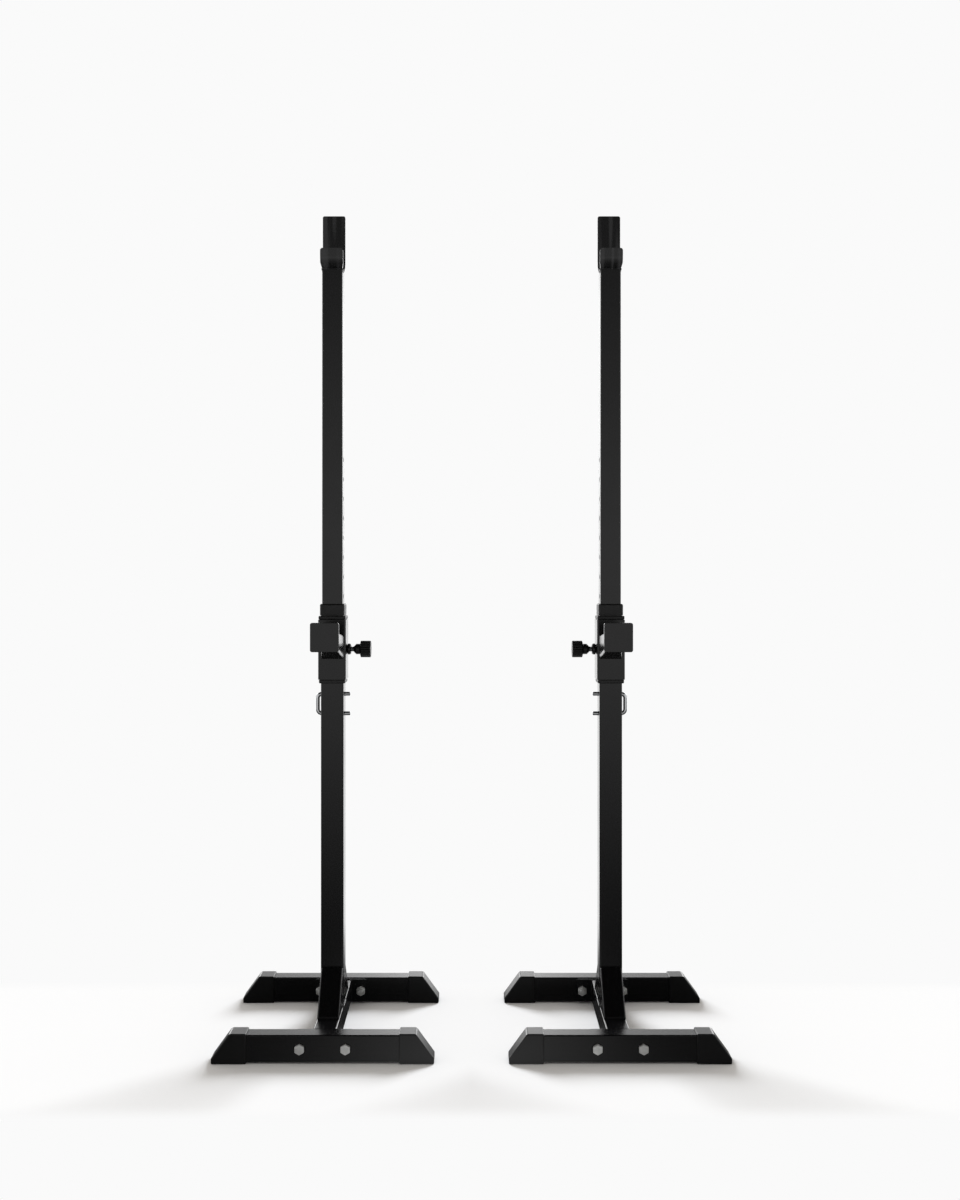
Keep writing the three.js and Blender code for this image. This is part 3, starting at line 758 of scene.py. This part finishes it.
def hexagon_block(low, high, chamfers, place):
    angles = [pi * i / 3 + pi / 6 for i in range(6)]
    corners = [(hexagon * cos(angle), hexagon * sin(angle)) for angle in angles]
    block = skin([[place(u, v, level) for u, v in corners] for level in (low, high)])
    start, end = chamfers
    profile = [
        (low, 0),
        (low, hexagon - 2 * start),
        (low + start, hexagon + turning_room),
        (high - end, hexagon + turning_room),
        (high, hexagon - 2 * end),
        (high, 0),
    ]
    return carved(block, turned(profile, place, turns=72), operation="INTERSECT")


on_bolt = facing(bolt_middles[0].x, bolt_middles[0].z)
head_seat = bolt_low.y + head_height
head = hexagon_block(bolt_low.y, head_seat, (head_chamfer, seat_chamfer), on_bolt)
shank_end = nut_low.y
shank = round_bar(bolt_diameter / 2, head_seat - shank_overlap, shank_end, on_bolt)
thread = grown(
    rolled_thread,
    {"Diameter": bolt_diameter, "Length": bolt_high.y - shank_end, "Thread": thread_pitch},
)
placed(thread, (bolt_middles[0].x, shank_end, bolt_middles[0].z), lie_away)
bolt = merged(eased(head, forged_edge), shank, thread)
nut_block = hexagon_block(nut_low.y, nut_high.y, (head_chamfer, head_chamfer), on_bolt)
nut_bore = round_bar(bolt_diameter / 2 + fit_gap, nut_low.y - past, nut_high.y + past, on_bolt)
nut = eased(carved(nut_block, nut_bore), forged_edge)
for end in ("front", "rear"):
    for which, shift in (("outer", 0), ("inner", bolt_pitch)):
        for label, part in (("bolt", bolt), ("nut", nut)):
            copy = part.copy() if end == "front" else mirrored(part, away)
            placed(copy, (shift, 0, 0))
            name = f"{end}_{which}_{label}"
            fitted(copy, name, zinc, "zinc_hardware", "base", f"{label}_{end}_{which}")


# Collar. A black moulding pressed on the upright's sawn end, which guides the extension and hides
# the gap round it.
guide_plastic = finish(
    "guide_plastic",
    moulded_grain,
    {"Colour": (0.005, 0.005, 0.0052, 1), "Roughness": 0.42, "Grain Scale": 1700, "Flow": 0.1},
    bump=(0.3, 0.0001),
)
collar_low, collar_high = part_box("left_collar")
extension_low, extension_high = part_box("left_extension")
collar_size = collar_high.x - collar_low.x
extension_size = extension_high.x - extension_low.x
extension_corner = 0.0035
collar_roof = 0.0035
collar_corner = 0.0052
collar_brow = 0.0034
collar_hem = 0.0011
collar_edge = 0.0003
dimple_radius = 0.004
dimple_depth = 0.0009
dimple_aside = 0.018


def square_block(size, corner, low, high, edge=0.0, steps=3):
    plan = box_corners(size, size, corner)
    return slab(plan, low, high, lambda u, v, level: (stand_x + u, v, level), edge, steps)


collar_top = square_block(
    collar_size, collar_corner, collar_low.z - collar_size, collar_high.z, collar_brow, steps=5
)
collar_body = square_block(
    collar_size, collar_corner, collar_low.z, collar_high.z + collar_size, collar_hem
)
collar_bottom = collar_low.z - past
pocket_size = upright_size + 2 * fit_gap
pocket = square_block(pocket_size, upright_corner, collar_bottom, collar_high.z - collar_roof)
mouth_size = extension_size + 2 * fit_gap
mouth = square_block(mouth_size, extension_corner, collar_bottom, collar_high.z + past)
dimple = round_bar(
    dimple_radius,
    collar_low.y - past,
    collar_low.y + dimple_depth,
    facing(stand_x - dimple_aside, (collar_low.z + collar_high.z) / 2),
)
collar = carved(collar_top, collar_body, operation="INTERSECT")
collar = carved(collar, pocket, mouth, dimple)
fitted(eased(collar, collar_edge), "collar_moulding", guide_plastic, "guide_plastic", "base", "collar")


# Extension. A smaller square tube with a row of punched holes through both side walls, which slides
# in the upright. Its top end is coped to the round floor of the bar saddle and welded there.
extension_paint = finish(
    "extension_paint",
    powder_coat,
    {"Colour": (0.0035, 0.0035, 0.0037, 1), "Roughness": 0.22, "Mottle": 0.15, "Peel Scale": 640},
    bump=(0.22, 0.00015),
)
extension_wall = 0.002
punched_holes = 14
saddle_low, saddle_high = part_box("left_bar_saddle")
saddle_radius = 0.030
saddle_axis = Vector((stand_x, saddle_low.y + saddle_radius, saddle_low.z + saddle_radius))
extension_tube = standing_tube(
    extension_size, extension_low.z, saddle_axis.z, extension_wall, extension_corner, punched_holes
)
extension_tube = eased(extension_tube, sawn_edge)


def on_saddle(u, v, level):
    return (stand_x + level, saddle_axis.y + u, saddle_axis.z + v)


cope = round_bar(saddle_radius + fit_gap, -extension_size, extension_size, on_saddle, turns=96)
extension_tube = carved(extension_tube, cope)
fitted(
    extension_tube, "extension_tube", extension_paint, "extension_paint", "extension_slide", "extension"
)
for side in ("left", "right"):
    plug = frame["nodes"][f"{side}_extension_plug"]
    plug.data.materials.clear()
    plug.data.materials.append(guide_plastic)


# Bar saddle. Cut from flat steel plate, bent round a former to a J with a low lip in front, and
# welded on the extension. The back plate's ears hang a little below its bend.
# The saddle's paint carries painted sheen: lighter vertical streaks in its colour stand in for reflections.
saddle_paint = finish(
    "saddle_paint",
    powder_coat,
    {"Colour": (0.004, 0.004, 0.0042, 1), "Roughness": 0.24, "Mottle": 0.2, "Peel Scale": 420, "Streak": 5},
    bump=(0.25, 0.0002),
)
saddle_plate = 0.005
saddle_inner = saddle_radius - saddle_plate
lip_height = 0.046
saddle_edge = 0.0007
lip_taper = 0.010
ear_tip = 0.0105
ear_root = 0.0195
lip_corner = 0.0055
taper_corner = 0.004
ear_corner = 0.001
lip_lean = radians(4.5)
back_corner = 0.004
saddle_top = saddle_high.z - saddle_axis.z
bend_steps = 40


def bent(radius, start, end):
    angles = [start + (end - start) * i / bend_steps for i in range(bend_steps + 1)]
    return [(radius * cos(angle), radius * sin(angle)) for angle in angles]


def lip_end(radius):
    u, v = -radius * cos(lip_lean), -radius * sin(lip_lean)
    return (u - (lip_height - saddle_radius - v) * tan(lip_lean), lip_height - saddle_radius)


j_section = [
    lip_end(saddle_radius),
    *bent(saddle_radius, pi + lip_lean, 2 * pi),
    (saddle_radius, saddle_top),
    (saddle_inner, saddle_top),
    *bent(saddle_inner, 2 * pi, pi + lip_lean),
    lip_end(saddle_inner),
]
saddle_half = (saddle_high.x - saddle_low.x) / 2
j_plate = skin([[on_saddle(u, v, level) for u, v in j_section] for level in (-saddle_half, saddle_half)])
narrow = extension_size / 2


def saddle_blank(corners, low, high):
    both = corners + [(-u, v, radius) for u, v, radius in reversed(corners)]
    return slab(
        both, low, high, lambda u, v, level: (stand_x + u, saddle_axis.y + level, saddle_low.z + v)
    )


lip_blank = saddle_blank(
    [
        (narrow, -past, 0),
        (narrow, saddle_plate, 0),
        (saddle_half, saddle_plate + lip_taper, taper_corner),
        (saddle_half, lip_height, lip_corner),
    ],
    -saddle_radius - past,
    0,
)
back_blank = saddle_blank(
    [
        (narrow, -past, 0),
        (narrow, ear_root, ear_corner),
        (saddle_half, ear_tip, 0),
        (saddle_half, saddle_high.z - saddle_low.z, back_corner),
    ],
    0,
    saddle_radius + past,
)
blank = carved(lip_blank, back_blank, operation="UNION")
saddle = eased(carved(j_plate, blank, operation="INTERSECT"), saddle_edge)
fitted(saddle, "saddle_plate", saddle_paint, "saddle_paint", "extension_slide", "bar_saddle")
saddle_bead = 0.0015
cope_reach = [narrow * (i / 4 - 1) for i in range(8)]


def on_cope(flank, y):
    drop = sqrt(saddle_radius**2 - (y - saddle_axis.y) ** 2)
    return (stand_x + flank * narrow, y, saddle_axis.z - drop)


saddle_seams = [[on_cope(flank, y) for y in cope_reach] for flank in (-1, 1)]
saddle_seams.append([on_cope(flank, -narrow) for flank in (-1, 1)])
saddle_welds = beads(saddle_seams, saddle_bead)
fitted(saddle_welds, "saddle_welds", saddle_paint, "saddle_paint", "extension_slide")


# Catch sleeve and its guide bushes. A short square tube rides on the upright, and a black moulded
# bush pressed in each end keeps steel from rubbing on paint.
sleeve_low, sleeve_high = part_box("left_catch_sleeve")
sleeve_size = sleeve_high.x - sleeve_low.x
sleeve_wall = 0.002
sleeve_corner = 0.004
sleeve_edge = 0.0005
stud_low, stud_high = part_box("left_clamp_stud")
clamp_z = (stud_low.z + stud_high.z) / 2
stud_hole = 0.0128
catch_paint = finish(
    "catch_paint",
    powder_coat,
    {"Colour": (0.0035, 0.0035, 0.0036, 1), "Roughness": 0.22, "Mottle": 0.15, "Peel Scale": 700},
    bump=(0.16, 0.00012),
)
sleeve_tube = standing_tube(sleeve_size, sleeve_low.z, sleeve_high.z, sleeve_wall, sleeve_corner)


def on_clamp(u, v, level):
    return (level, u, clamp_z + v)


sleeve_tube = carved(sleeve_tube, round_bar(stud_hole / 2, stand_x, sleeve_high.x + past, on_clamp))
sleeve_tube = eased(sleeve_tube, sleeve_edge)
fitted(sleeve_tube, "sleeve_tube", catch_paint, "catch_paint", "catch_slide", "catch_sleeve")

bush_rim = 0.002
bush_skirt = 0.022
bush_bore = upright_size + 2 * fit_gap
skirt_size = sleeve_size - 2 * (sleeve_wall + fit_gap)
for which in ("upper", "lower"):
    bush_low, bush_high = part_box(f"left_bush_{which}")
    flange_size = bush_high.x - bush_low.x
    up = which == "upper"
    seat_z = bush_low.z + bush_skirt if up else bush_high.z - bush_skirt
    flange_span = (seat_z, bush_high.z) if up else (bush_low.z, seat_z)
    skirt_span = (bush_low.z, seat_z + bush_rim) if up else (seat_z - bush_rim, bush_high.z)
    flange = square_block(flange_size, sleeve_corner, *flange_span, bush_rim)
    skirt = square_block(skirt_size, sleeve_corner / 2, *skirt_span)
    bore = square_block(bush_bore, upright_corner, bush_low.z - past, bush_high.z + past)
    bush = carved(carved(flange, skirt, operation="UNION"), bore)
    fitted(bush, f"{which}_bush", guide_plastic, "guide_plastic", "catch_slide", f"bush_{which}")


# Bar catch. Tapered sheet steel folded to a C, with the floor on top and a narrow flange below, and
# a thick lip welded across its end. It is welded on the sleeve's front and painted with it.
catch_low, catch_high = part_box("left_bar_catch")
lip_thickness = 0.007
lip_width = catch_high.x - catch_low.x
lip_rise = 0.061
lip_round = 0.0045
lip_edge = 0.0009
fold_width = 0.053
floor_sheet = 0.005
web_sheet = 0.006
fold_radius = 0.0055
fold_inside = 0.001
free_edge = 0.0006
floor_at_lip = 0.111
floor_at_sleeve = 0.0975
keel_at_lip = 0.0755
keel_at_sleeve = 0.0455
flange_at_lip = 0.0335
flange_at_sleeve = 0.049
lip_back = catch_low.y + lip_thickness
lip = slab(
    box_corners(lip_width, lip_rise, lip_round),
    catch_low.y,
    lip_back,
    facing(stand_x, catch_high.z - lip_rise / 2),
    lip_edge,
    steps=3,
)


def c_section(share):
    floor_z = sleeve_low.z + floor_at_lip + (floor_at_sleeve - floor_at_lip) * share
    keel_z = sleeve_low.z + keel_at_lip + (keel_at_sleeve - keel_at_lip) * share
    flange = flange_at_lip + (flange_at_sleeve - flange_at_lip) * share
    edge = fold_width / 2
    corners = [
        (-edge, floor_z - floor_sheet, free_edge),
        (edge - web_sheet, floor_z - floor_sheet, fold_inside),
        (edge - web_sheet, keel_z + web_sheet, fold_inside),
        (edge - flange, keel_z + web_sheet, free_edge),
        (edge - flange, keel_z, free_edge),
        (edge, keel_z, fold_radius),
        (edge, floor_z, fold_radius),
        (-edge, floor_z, free_edge),
    ]
    y = lip_back + (catch_high.y - lip_back) * share - (lip_thickness / 2) * (share == 0)
    return [(stand_x + u, y, v) for u, v in outline(corners, steps=6)]


c_stations = 12
bracket = skin([c_section(i / c_stations) for i in range(c_stations + 1)])
catch = merged(lip, bracket)
fitted(catch, "catch_bracket", catch_paint, "catch_paint", "catch_slide", "bar_catch")


# Clamp screw. A boss is welded on the sleeve's inner side, and a ribbed plastic knob moulded on a
# threaded steel stud is screwed through it against the upright.
boss_low, boss_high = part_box("left_clamp_boss")
knob_low, knob_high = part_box("left_clamp_knob")
boss_radius = (boss_high.z - boss_low.z) / 2
boss_chamfer = 0.0024
boss_bore = 0.0064
boss_edge = 0.0004
boss_profile = [
    (boss_low.x, boss_bore),
    (boss_low.x, boss_radius - boss_chamfer),
    (boss_low.x + boss_chamfer, boss_radius),
    (boss_high.x - boss_chamfer, boss_radius),
    (boss_high.x, boss_radius - boss_chamfer),
    (boss_high.x, boss_bore),
]
boss = eased(turned(boss_profile, on_clamp), boss_edge, over=30)
fitted(boss, "boss", catch_paint, "catch_paint", "catch_slide", "clamp_boss")
steel = finish(
    "stud_steel",
    plated,
    {"Colour": (0.42, 0.43, 0.44, 1), "Roughness": 0.34, "Cloud": 0.15, "Grain Scale": 1600},
    bump=(0.1, 0.00006),
    sockets={"Metallic": 1.0},
)
stud_diameter = 0.012
stand_across = Matrix(((0, 0, 1), (0, 1, 0), (-1, 0, 0))).to_4x4()
stud = grown(
    rolled_thread,
    {"Diameter": stud_diameter, "Length": stud_high.x - stud_low.x, "Thread": thread_pitch, "Point": 0.0},
)
placed(stud, (stud_low.x, 0, clamp_z), stand_across)
fitted(stud, "stud", steel, "stud_steel", "clamp_stud_travel", "clamp_stud")


def ribbed_grip_tree():
    tree, given, out = shape_tree(
        "ribbed_grip",
        {"Diameter": 0.0365, "Length": 0.023, "Ribs": 18, "Rib Depth": 0.0015, "Rim": 0.002},
    )
    step = maths(tree, "DIVIDE", given["Rim"], 5.0)
    sides = product(tree, given["Ribs"], 10.0)
    bar, parts, angle = unit_bar(tree, given["Length"], step, sides)
    wave = maths(tree, "COSINE", product(tree, angle, given["Ribs"]))
    trough = maths(tree, "MULTIPLY_ADD", wave, -0.5, 0.5)
    fluted = product(tree, maths(tree, "POWER", trough, 2.0), given["Rib Depth"])
    outer = product(tree, given["Diameter"], 0.5)
    left = maths(tree, "MINIMUM", parts[2], less(tree, given["Length"], parts[2]))
    short = maths(tree, "MAXIMUM", less(tree, given["Rim"], left), 0.0)
    square = product(tree, given["Rim"], given["Rim"])
    fall = less(tree, square, product(tree, short, short))
    rounding = less(tree, given["Rim"], maths(tree, "SQRT", maths(tree, "MAXIMUM", fall, 0.0)))
    radius = less(tree, less(tree, outer, fluted), rounding)
    return end_shape_tree(tree, given, out, reshaped(tree, bar, parts, radius))


knob_plastic = finish(
    "knob_plastic",
    moulded_grain,
    {"Colour": (0.003, 0.003, 0.0031, 1), "Roughness": 0.4, "Grain Scale": 1500, "Flow": 0.1},
    bump=(0.3, 0.0001),
    sockets={"Specular IOR Level": 0.45},
)
head_length = 0.023
knob_diameter = 0.0365
hub_radius = 0.0115
hub_taper = 0.005
hub_blend = 0.002
knob_bore = 0.0063
head_start = knob_high.x - head_length
grip = grown(ribbed_grip_tree(), {"Diameter": knob_diameter, "Length": head_length})
placed(grip, (head_start, 0, clamp_z), stand_across)
hub_profile = [
    (knob_low.x, 0),
    (knob_low.x, hub_radius - hub_taper),
    (knob_low.x + hub_taper, hub_radius),
    (head_start - hub_blend, hub_radius),
    (head_start + hub_blend / 2, hub_radius + hub_blend),
    (head_start + head_length / 2, hub_radius + hub_blend),
    (head_start + head_length / 2, 0),
]
hub = turned(hub_profile, on_clamp)
stud_room = round_bar(knob_bore, knob_low.x - past, stud_high.x + fit_gap, on_clamp)
knob = carved(carved(grip, hub, operation="UNION"), stud_room)
fitted(knob, "knob", knob_plastic, "knob_plastic", "clamp_knob_turn", "clamp_knob")


# Lock pin. Round bar bent to a U and chromium plated, pushed through the upright and two of the
# extension's holes from the outer side, where the bend makes its handle.
def bent_bar_tree():
    tree, given, out = shape_tree("bent_bar", {"Diameter": 0.0093, "Bend": 0.009, "Tip": 0.0012})
    path = result(tree, "GeometryNodeMeshToCurve", {"Mesh": given["Geometry"]})
    bending = {"Curve": path, "Count": 14, "Radius": given["Bend"]}
    bowed = result(tree, "GeometryNodeFilletCurve", bending, mode="POLY")
    fine = resampled(tree, bowed, pin_step)
    along = node(tree, "GeometryNodeSplineParameter").outputs["Length"]
    whole = result(tree, "GeometryNodeSplineLength")
    left = maths(tree, "MINIMUM", along, less(tree, whole, along))
    short = maths(tree, "MAXIMUM", less(tree, given["Tip"], left), 0.0)
    thick = less(tree, product(tree, given["Diameter"], 0.5), short)
    return end_shape_tree(tree, given, out, round_along(tree, fine, thick, 28))


chrome = finish(
    "pin_chrome",
    plated,
    {"Colour": (0.72, 0.73, 0.74, 1), "Roughness": 0.12, "Cloud": 0.08, "Grain Scale": 500},
    bump=(0.05, 0.00005),
    sockets={"Metallic": 1.0},
)
pin_bend = 0.0093
pin_step = 0.0006
bend_x = pin_low.x + pin_diameter / 2
pin_path = bpy.data.meshes.new("pin_path")
pin_path.from_pydata(
    [
        (pin_high.x, 0, pin_legs[0]),
        (bend_x, 0, pin_legs[0]),
        (bend_x, 0, pin_legs[1]),
        (pin_high.x, 0, pin_legs[1]),
    ],
    [(0, 1), (1, 2), (2, 3)],
    [],
)
pin = grown(bent_bar_tree(), {"Diameter": pin_diameter, "Bend": pin_bend}, pin_path)
fitted(pin, "pin", chrome, "pin_chrome", "lock_pin_travel", "lock_pin")


# Studio. A pale floor in two halves runs back into a white surround. Two soft lamps stand high
# behind the pair, and each lights one stand and its half of the floor. In reflections the ceiling
# is dark, and a low band of light at the front picks out the flat faces.
white = 0.956
floor_tone = 0.9
ambient = 0.53
ambient_tint = (1.04, 1.0, 0.95, 1.0)
lamp_tint = (0.97, 1.0, 1.04)
lamp_strength = 3.3
lamp_angle = 27
lamp_tilt = 57
lamp_swing = 34
backdrop_gloss = 0.7
centre_gloss = 1.6
centre_width = 0.07
level_height = (0.18, 0.26)
level_width = (0.15, 0.25)
front_gloss = 0.02
band_gloss = 0.78
band_height = 0.17
front_to_back = (-0.2, 0.3)
side_gloss = 0.8
side_reach = (0.35, 0.8)
softbox_gloss = 4.0
softbox_width = (0.18, 0.26, 0.5, 0.65)
softbox_height = (0.03, 0.09, 0.3, 0.45)
softbox_depth = (0.5, 0.7)
ceiling = (0.45, 0.8)
ceiling_gloss = 0.03
# The pool is a painted reflection of light on the floor, and its two later ramps are painted shade where
# the feet shadow the floor.
pool_gloss = 0.68
pool_width = 0.28
pool_edge_gloss = 0.05
pool_start = (-0.6, -0.42, 0.4, 1.0)
pool_shade_over_front_feet = (-0.26, -0.16, 1.0, 0.4)
pool_shade_between_feet = (-0.06, 0.04, 1.0, 0.2)
far_floor = (0.25, 1.0, 0.0, 1.5)
shadow_reach = (-0.5, -0.42, 0.26, 0.34)
floor_reach = 60
floor_drop = 0.0002


def bell(tree, value, width):
    share = maths(tree, "DIVIDE", value, width)
    return maths(tree, "EXPONENT", product(tree, product(tree, share, share), -1.0))


def blend(tree, share, low, high):
    return result(tree, "ShaderNodeMix", {0: share, 2: low, 3: high}, data_type="FLOAT")


def highest(tree, first, *others):
    for other in others:
        first = maths(tree, "MAXIMUM", first, other)
    return first


def window(tree, value, start, full, fade, end):
    return product(tree, rise(tree, value, start, full), rise(tree, value, fade, end, 1.0, 0.0))


def surround():
    world = bpy.data.worlds.new("surround")
    bpy.context.scene.world = world
    world.use_nodes = True
    tree = world.node_tree
    tree.nodes.clear()
    way = node(tree, "ShaderNodeTexCoord").outputs["Generated"]
    x, y, z = node(tree, "ShaderNodeSeparateXYZ", {"Vector": way}).outputs
    aside = maths(tree, "ABSOLUTE", x)
    centre = maths(tree, "MULTIPLY_ADD", bell(tree, x, centre_width), centre_gloss, backdrop_gloss)
    level = product(
        tree, rise(tree, z, *level_height, 1.0, 0.0), rise(tree, aside, *level_width, 1.0, 0.0)
    )
    behind = maths(tree, "ADD", level, centre)
    before = maths(tree, "MULTIPLY_ADD", bell(tree, z, band_height), band_gloss, front_gloss)
    ahead = blend(tree, rise(tree, y, *front_to_back), before, behind)
    beside = rise(tree, aside, *side_reach, 0.0, side_gloss)
    wide = window(tree, aside, *softbox_width)
    tall = window(tree, z, *softbox_height)
    softbox = product(tree, wide, tall, rise(tree, y, *softbox_depth, 0.0, softbox_gloss))
    bright = highest(tree, ahead, beside, softbox)
    room = product(tree, bright, rise(tree, z, *ceiling, 1.0, ceiling_gloss))
    path = node(tree, "ShaderNodeLightPath").outputs
    lit = blend(tree, path["Is Glossy Ray"], ambient, room)
    strength = blend(tree, path["Is Camera Ray"], lit, white)
    untinted = highest(tree, path["Is Glossy Ray"], path["Is Camera Ray"])
    tints = {0: untinted, 6: ambient_tint, 7: (1.0, 1.0, 1.0, 1.0)}
    colour = node(tree, "ShaderNodeMix", tints, data_type="RGBA").outputs[2]
    light = result(tree, "ShaderNodeBackground", {"Color": colour, "Strength": strength})
    out = node(tree, "ShaderNodeOutputWorld")
    tree.links.new(light, out.inputs[0])


def floor_paper():
    material = bpy.data.materials.new("floor")
    material.use_nodes = True
    tree = material.node_tree
    tree.nodes.clear()
    place = node(tree, "ShaderNodeTexCoord").outputs["Object"]
    x, y, _ = node(tree, "ShaderNodeSeparateXYZ", {"Vector": place}).outputs
    # For glossy rays the floor glows as a painted reflection: a band, a pool of light before the front feet
    # dimmed to painted shade over and between the feet, and bright floor far behind.
    slope = maths(tree, "DIVIDE", 1.0, less(tree, -camera_place[1], y))
    band = product(tree, bell(tree, slope, band_height), band_gloss)
    pool = maths(tree, "MULTIPLY_ADD", bell(tree, x, pool_width), pool_gloss, pool_edge_gloss)
    ends = [rise(tree, y, *end) for end in (pool_start, pool_shade_over_front_feet, pool_shade_between_feet)]
    glossed = highest(tree, band, product(tree, pool, *ends), rise(tree, y, *far_floor))
    shaded = window(tree, y, *shadow_reach)
    path = node(tree, "ShaderNodeLightPath").outputs
    bare = product(tree, path["Is Camera Ray"], less(tree, 1.0, shaded))
    paper = result(tree, "ShaderNodeBsdfDiffuse", {"Color": (floor_tone, floor_tone, floor_tone, 1)})
    clean = result(tree, "ShaderNodeEmission", {"Strength": white})
    laid = result(tree, "ShaderNodeMixShader", {0: bare, 1: paper, 2: clean})
    seen = result(tree, "ShaderNodeEmission", {"Strength": glossed})
    shaders = {0: path["Is Glossy Ray"], 1: laid, 2: seen}
    mixed = result(tree, "ShaderNodeMixShader", shaders)
    out = node(tree, "ShaderNodeOutputMaterial")
    tree.links.new(mixed, out.inputs[0])
    return material


def floor_half(name, way, paper):
    floor = shown(name, bpy.data.meshes.new(name))
    near, far = -floor_reach, floor_reach
    corners = [(way * x, y, -floor_drop) for x, y in ((0, near), (far, near), (far, far), (0, far))]
    floor.data.from_pydata(corners, [], [(0, 1, 2, 3)[::way]])
    floor.data.materials.append(paper)


def soft_lamp(side, swing, other):
    light = bpy.data.lights.new(f"{side}_lamp", "SUN")
    light.energy = lamp_strength
    light.color = lamp_tint
    light.angle = radians(lamp_angle)
    holder = bpy.data.objects.new(f"{side}_lamp", light)
    holder.rotation_euler = (radians(-lamp_tilt), 0, radians(swing))
    holder.visible_glossy = False
    bpy.context.scene.collection.objects.link(holder)
    passed = bpy.data.collections.new(f"{side}_lamp_passes_by")
    for thing in bpy.context.scene.objects:
        if thing.type == "MESH" and thing.name.startswith(other):
            passed.objects.link(thing)
    for entry in passed.collection_objects:
        entry.light_linking.link_state = "EXCLUDE"
    holder.light_linking.receiver_collection = passed


surround()
paper = floor_paper()
floor_half("left_floor", -1, paper)
floor_half("right_floor", 1, paper)
soft_lamp("left", -lamp_swing, "right")
soft_lamp("right", lamp_swing, "left")
bpy.context.scene.view_settings.view_transform = "Standard"
